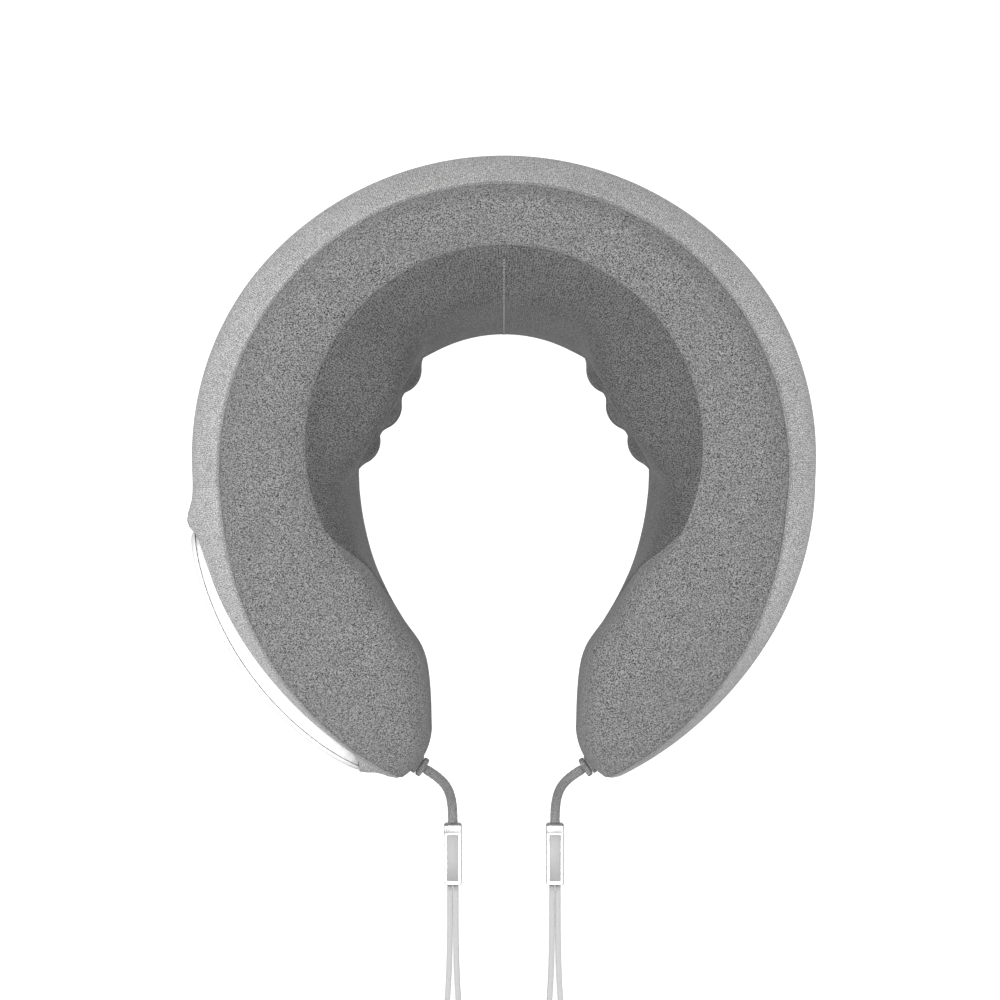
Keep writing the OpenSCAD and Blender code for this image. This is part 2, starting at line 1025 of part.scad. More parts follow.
module usb_socket() {
    can = [6.4, 8.8, 3];
    sheet_t = 0.4;
    back_x = pod_r - pod_depth + 2.2;
    back_t = 1.8;
    color("silver")
        pod_place(usb_phi)
            difference() {
                translate([back_x, -can[1] / 2, -can[2] / 2])
                    cube(can);
                translate([back_x + back_t, sheet_t - can[1] / 2, sheet_t - can[2] / 2])
                    cube([can[0], can[1] - 2 * sheet_t, can[2] - 2 * sheet_t]);
            }
}

module status_lens() {
    color("lightcyan")
        pod_place(lens_phi)
            rotate([0, 90, 0])
                translate([0, 0, pod_r - 3])
                    cylinder(r = lens_r, h = 3.1);
}

// ---- Hand straps: right-hand coordinates, mirrored for the left ----

module strap_tab() {
    tab = [9.5, 3.4, 14];
    color("darkgray")
        difference() {
            translate([each tab_foot, tab_z])
                rotate([0, 0, tab_turn])
                    translate([-tab[0] / 2, -tab[1], -tab[2] / 2])
                        cube(tab);
            translate([each cord_start, tab_z - barrel_h / 2 - clear])
                cylinder(r = barrel_r + run_gap, h = barrel_h + 2 * clear);
        }
}

function bezier(p, t) =
    pow(1 - t, 3) * p[0] + 3 * t * pow(1 - t, 2) * p[1]
    + 3 * t * t * (1 - t) * p[2] + pow(t, 3) * p[3];

// A round ring of points across the cord at t
function cord_ring(t) =
    let (
        d = bezier(CORD_PATH, min(1, t + 0.01)) - bezier(CORD_PATH, max(0, t - 0.01)),
        f = d / norm(d),
        s = cross(f, [0, 0, 1]) / norm(cross(f, [0, 0, 1])),
        u = cross(s, f)
    )
    [
        for (i = [0:mesh_fn - 1])
            let (q = 360 * i / mesh_fn)
            bezier(CORD_PATH, t) + cord_r * (cos(q) * s + sin(q) * u)
    ];

module cord() {
    steps = 14;
    color("darkgray")
        union() {
            skin([for (i = [0:steps]) cord_ring(i / steps)]);
            translate([each cord_start, tab_z - barrel_h / 2])
                cylinder(r = barrel_r, h = barrel_h);
        }
}

module clasp() {
    edge = 1.6;
    half = clasp_w / 2;
    color("lightgray")
        translate([clasp_x, clasp_y, clasp_z - clasp_h / 2])
            linear_extrude(clasp_h)
                polygon([
                    [-half, -edge],
                    [-half + edge, 0],
                    [half - edge, 0],
                    [half, -edge],
                    [half, -clasp_l],
                    [-half, -clasp_l]
                ]);
}

// Half the inner width of the hand loop at t, from the clasp to the far end
function loop_half(t) = 0.3 + 52 * pow(t, 3) * sqrt(max(0, 1 - t));

module hand_loop() {
    steps = 20;
    ts = [for (i = [0:steps]) 1 - pow(1 - i / steps, 1.6)];
    right = [for (t = ts) [loop_half(t), -loop_len * t]];
    left = [for (i = [steps - 1:-1:0]) [-loop_half(ts[i]), -loop_len * ts[i]]];
    hole = concat(left, right);
    rim = inset(hole, -strap_t);
    color("whitesmoke")
        translate([clasp_x, loop_y, clasp_z])
            union() {
                translate([0, 0, -strap_w / 2])
                    linear_extrude(strap_w)
                        difference() {
                            polygon(rim);
                            polygon(hole);
                            translate([-far / 2, 0])
                                square(far);
                        }
                rotate([0, 90, 0])
                    translate([0, 0, -loop_half(0) - strap_t])
                        cylinder(r = strap_w / 2, h = 2 * (loop_half(0) + strap_t));
            }
}

frame_chassis();
core_foam();
top_panel();
outer_band();
inner_panel();
bottom_panel();
battery_cells();
battery_tray();
main_board();
heating_film();
wire_harness();
gearbox_screws();
on_side("left") gearbox_base();  // left_gearbox_base
on_side("left") gearbox_cover();  // left_gearbox_cover
on_side("left") motor();  // left_motor
on_side("left") worm();  // left_worm
on_side("left") head_disc();  // left_head_disc
on_side("left") massage_nodes();  // left_massage_nodes
on_side("left") head_shaft();  // left_head_shaft
on_side("left") worm_wheel();  // left_worm_wheel
on_side("left") stretch_patch();  // left_stretch_patch
gearbox_base();  // right_gearbox_base
gearbox_cover();  // right_gearbox_cover
motor();  // right_motor
worm();  // right_worm
head_disc();  // right_head_disc
massage_nodes();  // right_massage_nodes
head_shaft();  // right_head_shaft
worm_wheel();  // right_worm_wheel
stretch_patch();  // right_stretch_patch
on_side("left") arm_spine();  // left_arm_spine
left_arm_foam();
left_arm_cover();
on_side("left") flex_pin();  // left_flex_pin
arm_spine();  // right_arm_spine
right_arm_foam();
right_arm_cover();
flex_pin();  // right_flex_pin
pod_shell();
pod_base();
pod_screws();
key_bezel();
key_board();
usb_socket();
status_lens();
power_button();
mode_button();
heat_button();
on_side("left") strap_tab();  // left_strap_tab
on_side("left") cord();  // left_cord
on_side("left") clasp();  // left_clasp
on_side("left") hand_loop();  // left_hand_loop
strap_tab();  // right_strap_tab
cord();  // right_cord
clasp();  // right_clasp
hand_loop();  // right_hand_loop
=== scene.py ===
"""Looks for a U-shaped shiatsu neck massager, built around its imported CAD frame.

Lengths below are in millimetres in the frame's axes (+Z up, +Y to the rear, origin on the
neck axis) and become metres when a mesh is made. A direction a is in degrees from the rear.
"""

import json
import math

import bmesh
import bpy
import numpy as np
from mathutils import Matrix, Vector


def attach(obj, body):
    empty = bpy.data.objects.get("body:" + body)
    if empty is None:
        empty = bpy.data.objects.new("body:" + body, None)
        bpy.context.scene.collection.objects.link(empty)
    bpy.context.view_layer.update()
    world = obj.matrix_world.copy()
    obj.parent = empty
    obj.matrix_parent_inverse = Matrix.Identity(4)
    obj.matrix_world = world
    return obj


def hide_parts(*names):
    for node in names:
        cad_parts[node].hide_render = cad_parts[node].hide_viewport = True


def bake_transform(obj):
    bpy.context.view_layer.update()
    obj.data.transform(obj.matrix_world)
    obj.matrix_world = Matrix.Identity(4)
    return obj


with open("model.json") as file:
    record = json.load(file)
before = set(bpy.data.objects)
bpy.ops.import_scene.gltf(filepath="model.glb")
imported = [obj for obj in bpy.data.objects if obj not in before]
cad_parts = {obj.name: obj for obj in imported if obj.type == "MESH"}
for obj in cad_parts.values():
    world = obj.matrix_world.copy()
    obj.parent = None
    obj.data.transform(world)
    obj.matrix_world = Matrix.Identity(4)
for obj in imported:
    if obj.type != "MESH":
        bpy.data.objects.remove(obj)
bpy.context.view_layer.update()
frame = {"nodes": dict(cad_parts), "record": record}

MM = 0.001
SIDES = {"left": -1, "right": 1}
X_DIR, Y_DIR, Z_DIR = np.eye(3)

# Outline of the body, the same rules as the CAD model's
NECK_R = 70.0
OUTER_R = 149.5
MID_H = 98.0
TOP_SLOPE = 0.133
ARM_END = 160.0
SEAM_LEAVES = 105.0
SEAM_CROSSES = 133.0
SEAM_ENDS = 155.0
CAP_BULGE = 5.5
FABRIC_T = 1.2
SEAM_DEPTH = 0.9
CROWN_LIMIT = 3.5

# Kneading heads
HEAD_PHI = 60.0
HEAD_Z = 46.0
HEAD_REACH = 59.0
NODE_COUNT = 4
NODE_RING_R = 19.8
NODE_R = 10.4
RIM_R = 30.8
RIM_D = 62.9
RIM_FLAT = 1.5
RIM_SLOPE = 0.1
PRESS_FADE = 20.0
PRESS_REACH = 27.0
LIFT_REACH = 7.0

# Key pod
POD_R = 152.4
POD_CY = -5.2
POD_Z = 40.0
POD_H = 42.0
POD_PHIS = (98.0, 153.0)

# Hand straps
CLASP = {"x": 25.0, "y": -168.5, "z": 6.2, "w": 8.7, "l": 30.0, "h": 12.0}
CORD_R = 2.35
STRAP_W = 10.0
STRAP_T = 2.9
LOOP_LEN = 165.0


# ---- outline rules


def above(a, start, span):
    """How far a is past start, as a share of span, and 0 before it."""
    return max(0.0, (a - start) / span)


def polar(r, a):
    return np.array([r * math.sin(math.radians(a)), r * math.cos(math.radians(a))])


def smooth(t):
    """A soft step: 0 below t = 0, 1 above t = 1."""
    t = np.clip(t, 0, 1)
    return t * t * (3 - 2 * t)


def unit(v):
    """Vectors scaled to length 1."""
    return v / np.linalg.norm(v, axis=-1, keepdims=True)


def run_length(points):
    """Distance from the first point to each point, along the line of points."""
    return np.concatenate([[0], np.cumsum(np.linalg.norm(np.diff(points, axis=0), axis=1))])


def lead(a):
    """How much further round the neck side's point of station a lies."""
    return 3.5 * above(a, 96, 64) ** 2


def waist_r(a):
    """Radius of the neck opening, which widens along the arms."""
    return NECK_R + 26 * above(a, 95, 69) ** 2 + 29 * above(a, 148, 15.8) ** 3.4


def wall_r(a):
    """Radius of the outer wall, fuller behind the shoulders and at the arm tips."""
    swell = 4.7 * math.sin(math.radians(2 * (90 - max(45.0, min(a, 90.0)))))
    return OUTER_R + swell + 5.5 * above(a, 120, 40) ** 2


def seam_out_r(a):
    return OUTER_R - 14.5 + 3.3 * math.cos(math.radians(a)) + 20 * above(a, 95, 65) ** 1.3


def seam_in_r(a):
    t = math.radians(a)
    offset, radius = 15.5, 93
    arc = offset * math.cos(t) + math.sqrt(radius**2 - (offset * math.sin(t)) ** 2)
    return arc - 10 * above(a, 110, 35) ** 2


def top_z(y):
    return MID_H + TOP_SLOPE * y


def shoulder(a):
    """How far the neck side's upper edge has turned from a seam into a soft shoulder, 0 to 1."""
    return smooth(above(a, 112, 24))


def section(a):
    """Control points of one cross-section, by panel: neck side, top, outer side and base."""
    b = a + lead(a)
    w, o, d = waist_r(b), wall_r(a), seam_out_r(a)
    c = max(seam_in_r(b), w + 8)
    end_drop = 1 - 0.13 * min(1.0, above(a, 147, 13)) ** 2.5
    zc = top_z(c * math.cos(math.radians(b))) * end_drop
    zd = top_z(d * math.cos(math.radians(a))) * end_drop
    run = c - w
    k = shoulder(a)
    neck = [
        (w + 6, 3),
        (w + 0.8, 22),
        (w, 42),
        (w + (0.1 - 0.08 * k) * run, (0.56 + 0.08 * k) * zc),
        (w + (0.4 - 0.16 * k) * run, (0.8 + 0.09 * k) * zc),
        (c, zc - 3 + 1.6 * k),
    ]
    top = [neck[-1], (c + 0.3 * (d - c), zc + 1.5), (c + 0.7 * (d - c), zd + 1), (d, zd - 5)]
    outer = [top[-1], (o - 2.2, 0.68 * zd), (o, 0.42 * zd), (o - 2.5, 14), (o - 10, 1)]
    base = [outer[-1], (o - 16, 0.3), (w + 17, 0.3), neck[0]]
    return neck, top, outer, base


def spline(points, ts):
    """Points at fractions ts of the length of a smooth curve through the control points."""
    p = np.array(points, float)
    p = np.vstack([2 * p[0] - p[1], p, 2 * p[-1] - p[-2]])
    fine = []
    for before, here, after, beyond in zip(p, p[1:], p[2:], p[3:]):
        for t in np.linspace(0, 1, 16, endpoint=False):
            square = (2 * before - 5 * here + 4 * after - beyond) * t**2
            cube = (3 * here - before - 3 * after + beyond) * t**3
            fine.append(0.5 * (2 * here + (after - before) * t + square + cube))
    fine.append(p[-2])
    fine = np.array(fine)
    run = run_length(fine)
    at = np.asarray(ts) * run[-1]
    return np.stack([np.interp(at, run, fine[:, k]) for k in range(fine.shape[1])], axis=1)


def curve_share(points, corner):
    """Share of a smooth curve's length that lies before one of its control points."""
    fine = spline(points, np.linspace(0, 1, 400))
    gap = np.linalg.norm(fine - np.array(points[corner]), axis=1)
    return float(np.argmin(gap)) / (len(fine) - 1)


def stand(pts, a):
    """Stands section points up in the vertical plane of station a."""
    b = a + lead(a)
    w, o = waist_r(b), wall_r(a)
    near = polar(w, b)
    run = (polar(o, a) - near) / (o - w)
    pts = np.asarray(pts)
    flat = near + (pts[:, :1] - w) * run
    return np.hstack([flat, pts[:, 1:]])


# ---- mesh helpers


def add_object(name, data):
    obj = bpy.data.objects.new(name, data)
    bpy.context.scene.collection.objects.link(obj)
    return obj


def raw_object(name, verts_mm, faces):
    """A mesh object with these points and faces, exactly as given."""
    mesh = bpy.data.meshes.new(name)
    mesh.from_pydata([tuple(v * MM for v in p) for p in verts_mm], [], faces)
    return add_object(name, mesh)


def shade_smooth(mesh, sharp_angle):
    for polygon in mesh.polygons:
        polygon.use_smooth = True
    mesh.set_sharp_from_angle(angle=math.radians(sharp_angle))


def closed_object(name, verts_mm, faces, sharp_angle=40):
    """An object with its coincident points joined and its normals facing outwards."""
    obj = raw_object(name, verts_mm, faces)
    bm = bmesh.new()
    bm.from_mesh(obj.data)
    bmesh.ops.remove_doubles(bm, verts=bm.verts, dist=1e-7)
    bmesh.ops.recalc_face_normals(bm, faces=bm.faces)
    bm.to_mesh(obj.data)
    bm.free()
    shade_smooth(obj.data, sharp_angle)
    return obj


def make_object(name, verts_mm, faces, slot, sharp_angle):
    obj = closed_object(name, verts_mm, faces, sharp_angle)
    obj.data.materials.append(MATERIALS[slot])
    return obj


def place(obj, slot, body, *nodes):
    """Gives a piece its body, and hides the CAD nodes it stands for; the slot is not used."""
    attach(obj, body)
    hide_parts(*nodes)


def merged_faces(faces, back):
    """Faces over joined points, without those that collapse, and which faces they were."""
    kept = []
    source = []
    for k, f in enumerate(faces):
        ids = list(dict.fromkeys(int(back[i]) for i in f))
        if len(ids) >= 3:
            kept.append(ids)
            source.append(k)
    return kept, source


def vertex_normals(verts, faces):
    normals = np.zeros_like(verts)
    for f in faces:
        p = verts[f]
        normals[f] += np.cross(p[1:-1] - p[0], p[2:] - p[0]).sum(axis=0)
    length = np.linalg.norm(normals, axis=1, keepdims=True)
    return normals / np.maximum(length, 1e-12)


def compact(verts, faces):
    used = sorted({i for f in faces for i in f})
    new = {old: k for k, old in enumerate(used)}
    return verts[used], [[new[i] for i in f] for f in faces], used


def thicken(verts, faces, normals, t):
    """A closed shell: the surface, a copy t below it, and walls round its edges."""
    n = len(verts)
    below = verts - normals * t
    edges = {(a, b): None for f in faces for a, b in zip(f, f[1:] + f[:1])}
    rim = [(a, b) for (a, b) in edges if (b, a) not in edges]
    shell = [list(f) for f in faces]
    shell += [[i + n for i in reversed(f)] for f in faces]
    shell += [[b, a, a + n, b + n] for a, b in rim]
    return np.vstack([verts, below]), shell


def grid_faces(rows, cols, offset=0, closed=False):
    """Quads of a rows x cols grid of points; closed joins the last column to the first."""
    faces = []
    for r in range(rows - 1):
        for c in range(cols if closed else cols - 1):
            d = (c + 1) % cols
            a = offset + r * cols
            b = a + cols
            faces.append([a + c, a + d, b + d, b + c])
    return faces


def tube_faces(rings, n):
    """Faces of a tube of rings of n points, with both ends capped."""
    last = (rings - 1) * n
    caps = [list(range(n))[::-1], list(range(last, last + n))]
    return grid_faces(rings, n, closed=True) + caps


def on_side(verts, side):
    """Points or directions of the right half, moved to a side."""
    return np.array(verts, float) * (SIDES[side], 1, 1)


def flipped(faces):
    return [list(reversed(f)) for f in faces]


def set_weave(mesh, coords):
    """Stores each point's place across and along its fabric, in mm, for the knit materials."""
    layer = mesh.uv_layers.new(name="weave")
    corners = np.zeros(len(mesh.loops), np.int32)
    mesh.loops.foreach_get("vertex_index", corners)
    flat = np.asarray(coords, np.float32)[corners, :2]
    layer.data.foreach_set("uv", flat.ravel())


# ---- materials


class Shader:
    """A small helper that builds one node material."""

    def __init__(self, name):
        self.material = bpy.data.materials.new(name)
        self.material.use_nodes = True
        self.tree = self.material.node_tree
        self.bsdf = self.tree.nodes["Principled BSDF"]
        self.coords = self.tree.nodes.new("ShaderNodeTexCoord").outputs["Object"]

    def feed(self, socket, value):
        """Sets a socket to a number, a vector or a colour, or links another node's output to it."""
        if isinstance(value, bpy.types.NodeSocket):
            self.tree.links.new(value, socket)
        elif isinstance(value, tuple) and socket.type == "RGBA":
            socket.default_value = (*value, 1.0)
        else:
            socket.default_value = value

    def node(self, kind, inputs, **settings):
        n = self.tree.nodes.new(kind)
        for key, value in settings.items():
            setattr(n, key, value)
        for key, value in inputs.items():
            self.feed(n.inputs[key], value)
        return n.outputs

    def noise(self, scale, detail, roughness, vector=None, distortion=0.0):
        inputs = {"Scale": scale, "Detail": detail, "Roughness": roughness, "Distortion": distortion}
        return self.node("ShaderNodeTexNoise", {**inputs, "Vector": vector or self.coords})["Fac"]

    def stretch(self, scale):
        return self.node("ShaderNodeMapping", {"Scale": scale, "Vector": self.coords})["Vector"]

    def weave(self):
        return self.node("ShaderNodeUVMap", {}, uv_map="weave")["UV"]

    def wave(self, scale, direction, vector, distortion=0.0, detail=0.0):
        inputs = {"Scale": scale, "Distortion": distortion, "Detail": detail, "Vector": vector}
        return self.node("ShaderNodeTexWave", inputs, bands_direction=direction)["Fac"]

    def math(self, operation, a, b):
        return self.node("ShaderNodeMath", {0: a, 1: b}, operation=operation)["Value"]

    def remap(self, value, low, high, to_low=0.0, to_high=1.0):
        ends = {"From Min": low, "From Max": high, "To Min": to_low, "To Max": to_high}
        return self.node("ShaderNodeMapRange", {**ends, "Value": value})["Result"]

    def mix(self, factor, a, b):
        """Blends two colours; sockets 0, 6 and 7 are the mix node's factor and colours."""
        return self.node("ShaderNodeMix", {6: a, 7: b, 0: factor}, data_type="RGBA")[2]

    def bump(self, height, strength, distance, normal=None):
        inputs = {"Strength": strength, "Distance": distance * MM, "Height": height}
        if normal is not None:
            inputs["Normal"] = normal
        return self.node("ShaderNodeBump", inputs)["Normal"]

    def set(self, **values):
        """Feeds the surface's sockets; a key not listed here is its socket's own name."""
        names = {
            "color": "Base Color",
            "sheen": "Sheen Weight",
            "transmission": "Transmission Weight",
            "specular": "Specular IOR Level",
            "glow": "Emission Strength",
        }
        for key, value in values.items():
            self.feed(self.bsdf.inputs[names.get(key, key.replace("_", " ").title())], value)


def grey(v, warm=0.0):
    return (v * (1 + warm), v, v * (1 - warm))


def wave_scale(pitch):
    """The wave texture's scale for bands this far apart; at scale 1 they are pi / 10 apart."""
    return math.pi / pitch / 10


def fleece(name):
    """Melange fleece: flecks of dark and light fibre with a short felted nap."""
    s = Shader(name)
    fibres = s.noise(1700, 2.0, 0.6, s.stretch((1.0, 1.0, 0.7)), 0.4)
    flecks = s.noise(2700, 1.0, 0.6)
    patches = s.noise(70, 2.0, 0.5)
    tone = s.math("ADD", s.math("MULTIPLY", fibres, 0.62), s.math("MULTIPLY", flecks, 0.38))
    tone = s.remap(tone, 0.41, 0.58)
    color = s.mix(tone, grey(0.0), grey(0.345))
    color = s.mix(s.remap(patches, 0.35, 0.65, 0.0, 0.2), color, grey(0.15))
    nap = s.bump(fibres, 0.8, 0.55)
    nap = s.bump(flecks, 0.6, 0.25, nap)
    s.set(color=color, roughness=0.95, sheen=0.25, sheen_roughness=0.6, specular=0.2, normal=nap)
    return s.material


def knit(name, dark, light, wale, course, depth):
    """Knit with wales across the band and courses along it; wale and course are in mm."""
    s = Shader(name)
    weave = s.weave()
    wales = s.wave(wave_scale(wale), "X", weave, 0.35, 1.0)
    courses = s.wave(wave_scale(course), "Y", weave, 0.5, 1.0)
    yarn = s.noise(1700, 1.5, 0.6)
    patches = s.noise(55, 2.0, 0.5)
    loops = s.math("MULTIPLY", wales, s.math("ADD", s.math("MULTIPLY", courses, 0.6), 0.4))
    # The loop height also darkens the colour a little in the grooves between the loops: partly the
    # knit's own darker gaps, partly painted shade.
    tone = s.math("ADD", s.math("MULTIPLY", loops, 0.08), s.math("MULTIPLY", yarn, 0.92))
    tone = s.math("ADD", tone, s.math("MULTIPLY", s.math("SUBTRACT", patches, 0.5), 0.05))
    color = s.mix(s.remap(tone, 0.37, 0.63), grey(dark), grey(light))
    normal = s.bump(loops, 0.6, depth)
    normal = s.bump(yarn, 0.35, 0.12, normal)
    s.set(color=color, roughness=0.9, sheen=0.2, sheen_roughness=0.5, specular=0.25, normal=normal)
    return s.material


def thread(name, value):
    s = Shader(name)
    twist = s.noise(3000, 2.0, 0.6, s.stretch((1, 1, 2.5)))
    color = s.mix(s.remap(twist, 0.3, 0.7), grey(value * 0.8), grey(value * 1.15))
    s.set(color=color, roughness=0.7, sheen=0.3, normal=s.bump(twist, 0.5, 0.1))
    return s.material


def moulded(name, color, roughness, grain=0.25, specular=0.5):
    """Moulded plastic with a fine spark texture and slightly rubbed high spots."""
    s = Shader(name)
    spark = s.noise(1500, 3.0, 0.6)
    wear = s.noise(45, 4.0, 0.6)
    rubbed = tuple(min(1, c * 1.12 + 0.01) for c in color)
    shade = s.mix(s.remap(wear, 0.4, 0.7, 0.0, 0.25), color, rubbed)
    rough = s.remap(wear, 0.3, 0.7, roughness * 0.85, roughness * 1.15)
    s.set(color=shade, roughness=rough, specular=specular, normal=s.bump(spark, grain, 0.06))
    return s.material


def brushed(name, value, roughness, stretch=(1, 1, 40), metallic=1.0):
    """Metal brushed along one axis, with faint handling marks."""
    s = Shader(name)
    lines = s.noise(900, 4.0, 0.7, s.stretch(stretch))
    marks = s.noise(120, 3.0, 0.6)
    color = s.mix(s.remap(lines, 0.3, 0.7), grey(value * 0.9), grey(value * 1.06))
    grooves = s.remap(lines, 0.3, 0.7, roughness * 0.8, roughness * 1.2)
    rough = s.math("ADD", grooves, s.remap(marks, 0.4, 0.7, 0.0, 0.06))
    s.set(color=color, metallic=metallic, roughness=rough, normal=s.bump(lines, 0.15, 0.03))
    return s.material


def rubber(name, value, warm=0.0):
    s = Shader(name)
    skin = s.noise(700, 4.0, 0.6)
    color = s.mix(s.remap(skin, 0.35, 0.65), grey(value * 0.92, warm), grey(value * 1.06, warm))
    s.set(color=color, roughness=0.6, normal=s.bump(skin, 0.3, 0.08))
    return s.material


def foam(name):
    s = Shader(name)
    cells = s.noise(600, 5.0, 0.7)
    color = s.mix(s.remap(cells, 0.35, 0.65), (0.55, 0.53, 0.48), (0.85, 0.83, 0.78))
    s.set(color=color, roughness=1.0, normal=s.bump(cells, 0.8, 0.5))
    return s.material


def board(name):
    s = Shader(name)
    tracks = s.wave(60, "X", s.coords, 6.0, 2.0)
    color = s.mix(s.remap(tracks, 0.75, 0.8), (0.01, 0.12, 0.05), (0.03, 0.22, 0.09))
    s.set(color=color, roughness=0.35, normal=s.bump(tracks, 0.2, 0.03))
    return s.material


def webbing(name):
    """Flat woven webbing with a basket weave and soft fuzz."""
    s = Shader(name)
    weave = s.weave()
    warp = s.wave(wave_scale(0.55), "X", weave)
    weft = s.wave(wave_scale(0.7), "Y", weave)
    cloth = s.math("MULTIPLY", warp, weft)
    fuzz = s.noise(2200, 3.0, 0.6)
    tone = s.math("ADD", s.math("MULTIPLY", cloth, 0.6), s.math("MULTIPLY", fuzz, 0.4))
    color = s.mix(s.remap(tone, 0.15, 0.7), grey(0.42), grey(0.70))
    s.set(color=color, roughness=0.8, sheen=0.2, normal=s.bump(cloth, 0.6, 0.15))
    return s.material


def lens(name):
    s = Shader(name)
    frost = s.noise(800, 2.0, 0.5)
    s.set(color=(0.75, 0.88, 0.92), roughness=s.remap(frost, 0.3, 0.7, 0.25, 0.45), transmission=0.4)
    return s.material


MATERIAL_ROWS = (
    (fleece, "fleece_top"),
    (knit, "band_knit", 0.13, 0.86, 1.0, 0.9, 0.1),
    (knit, "stretch_knit", 0.03, 0.19, 0.9, 0.8, 0.06),
    (knit, "base_cloth", 0.10, 0.20, 0.8, 0.8, 0.2),
    (knit, "cord_knit", 0.14, 0.33, 0.9, 0.9, 0.3),
    (webbing, "webbing"),
    (thread, "thread", 0.30),
    (foam, "foam"),
    (moulded, "frame_plastic", (0.05, 0.05, 0.055), 0.55),
    (moulded, "gearbox_plastic", (0.12, 0.12, 0.13), 0.5),
    (moulded, "wheel_nylon", (0.75, 0.72, 0.62), 0.45),
    (moulded, "battery_wrap", (0.03, 0.1, 0.4), 0.35, 0.1),
    (moulded, "film", (0.5, 0.22, 0.03), 0.3, 0.1),
    (moulded, "pod_white", (0.86, 0.86, 0.86), 0.33, 0.06, 0.15),
    (moulded, "key_strip", (0.02, 0.02, 0.022), 0.22, 0.04, 0.4),
    (brushed, "motor_steel", 0.55, 0.35),
    (brushed, "steel", 0.6, 0.3),
    (brushed, "worm_brass", 0.6, 0.3, (1, 30, 1)),
    (brushed, "clasp_metal", 0.88, 0.22, (1, 0.02, 1)),
    (brushed, "clasp_plate", 0.38, 0.55, (1, 0.02, 1), 0.35),
    (rubber, "node_silicone", 0.6),
    (rubber, "key_rubber", 0.09),
    (rubber, "wire", 0.2, 0.5),
    (board, "board"),
    (lens, "lens"),
)
MATERIALS = {name: make(name, *values) for make, name, *values in MATERIAL_ROWS}


def dress_cad_nodes():
    """Every CAD node that stays gets the finish its material slot names."""
    slots = {row["node"]: row["material_slot"] for row in frame["record"]["subparts"]}
    for name, obj in frame["nodes"].items():
        obj.data.materials.clear()
        obj.data.materials.append(MATERIALS[slots[name]])


# ---- cover skin


STATION_STEP = 1.25
ROWS = {"neck": 34, "wrap": 12, "top": 26, "outer": 26, "base": 12}
CAP_RINGS = 9
BODY_MIDDLE = (110.0, 0.0, 45.0)


HEAD_CENTRE = np.array([0, 0, HEAD_Z])
HEAD_OUT = np.append(polar(1.0, HEAD_PHI), 0.0)
HEAD_ACROSS = np.array([-HEAD_OUT[1], HEAD_OUT[0], 0.0])


def wrap_start(a, neck):
    """Share of the neck side that is stretch panel; above it the fleece wraps over the arm.

    Seen from above the seam first crosses the shoulder to the waist, then runs down the wall."""
    crossing = 1 - smooth(above(a, SEAM_LEAVES, SEAM_CROSSES - SEAM_LEAVES))
    fine = spline(neck, np.linspace(0, 1, 200))
    waist, ridge = neck[2][0], neck[-1][0]
    gap = np.abs(fine[:, 0] - waist - crossing * (ridge - waist))
    gap[fine[:, 1] < neck[2][1]] = np.inf
    share = np.argmin(gap) / (len(fine) - 1)
    return share * max(0.02, 1 - above(a, SEAM_CROSSES, SEAM_ENDS - SEAM_CROSSES))


def head_coordinates(points):
    """Distance along the right head's axis, and the two distances across it."""
    q = points - HEAD_CENTRE
    return q @ HEAD_OUT, q @ HEAD_ACROSS, q[:, 2]


def press_round_head(points):
    """Pulls the neck side out to the flat ring that the head's patch sits in."""
    d, across, up = head_coordinates(points)
    ring = np.hypot(across, up)
    target = RIM_D + RIM_SLOPE * np.maximum(0, ring - RIM_R)
    reach = np.where(d > target, PRESS_REACH, LIFT_REACH)
    weight = 1 - smooth((ring - RIM_R - RIM_FLAT) / reach)
    weight *= smooth((top_z(points[:, 1]) - 3 - points[:, 2]) / PRESS_FADE)
    weight = np.where(d > 0, weight, 0)
    return points + ((target - d) * weight)[:, None] * HEAD_OUT


def strip_points(a):
    """Points of one cross-section, by panel; neck and top turn into one curve on the arms."""
    neck, top, outer, base = section(a)
    split = wrap_start(a, neck)
    k = shoulder(a)
    over = neck + top[1:]
    share = curve_share(over, len(neck) - 1)
    curves = {"neck": neck, "wrap": neck, "top": top, "outer": outer, "base": base}
    ends = {"neck": (0, split), "wrap": (split, 1)}
    strips = {}
    for name, curve in curves.items():
        t = np.linspace(*ends.get(name, (0, 1)), ROWS[name] + 1)
        strips[name] = spline(curve, t)
        if name in ("neck", "wrap", "top"):
            joined = spline(over, share + t * (1 - share) if name == "top" else t * share)
            strips[name] = (1 - k) * strips[name] + k * joined
    return {name: stand(pts, a) for name, pts in strips.items()}


def arm_end():
    """The right arm's end: the neck side's point, the chord to the outer side, and outwards."""
    b = ARM_END + lead(ARM_END)
    near = np.append(polar(waist_r(b), b), 0.0)
    chord = np.append(polar(wall_r(ARM_END), ARM_END), 0.0) - near
    out = unit(np.array([chord[1], -chord[0], 0.0]))
    return near, chord, out


def cap_grid(ring):
    """Rings that close an arm's end with a low bulge, from its last cross-section."""
    ring = np.array(ring)
    centre = ring.mean(axis=0)
    near, chord, out = arm_end()
    along = (ring - near) @ chord / (chord @ chord)
    high = ring[:, 2].max()
    rings = []
    for k in range(1, CAP_RINGS + 1):
        t = k / (CAP_RINGS + 0.6)
        flat = ring + (centre - ring) * t
        u = along + (0.5 - along) * t
        v = ring[:, 2] / high
        v = v + (0.5 - v) * t
        swell = (1 - (2 * u - 1) ** 2) * (1 - (2 * v - 1) ** 4)
        rings.append(flat + CAP_BULGE * np.clip(swell, 0, 1)[:, None] * out)
    return rings


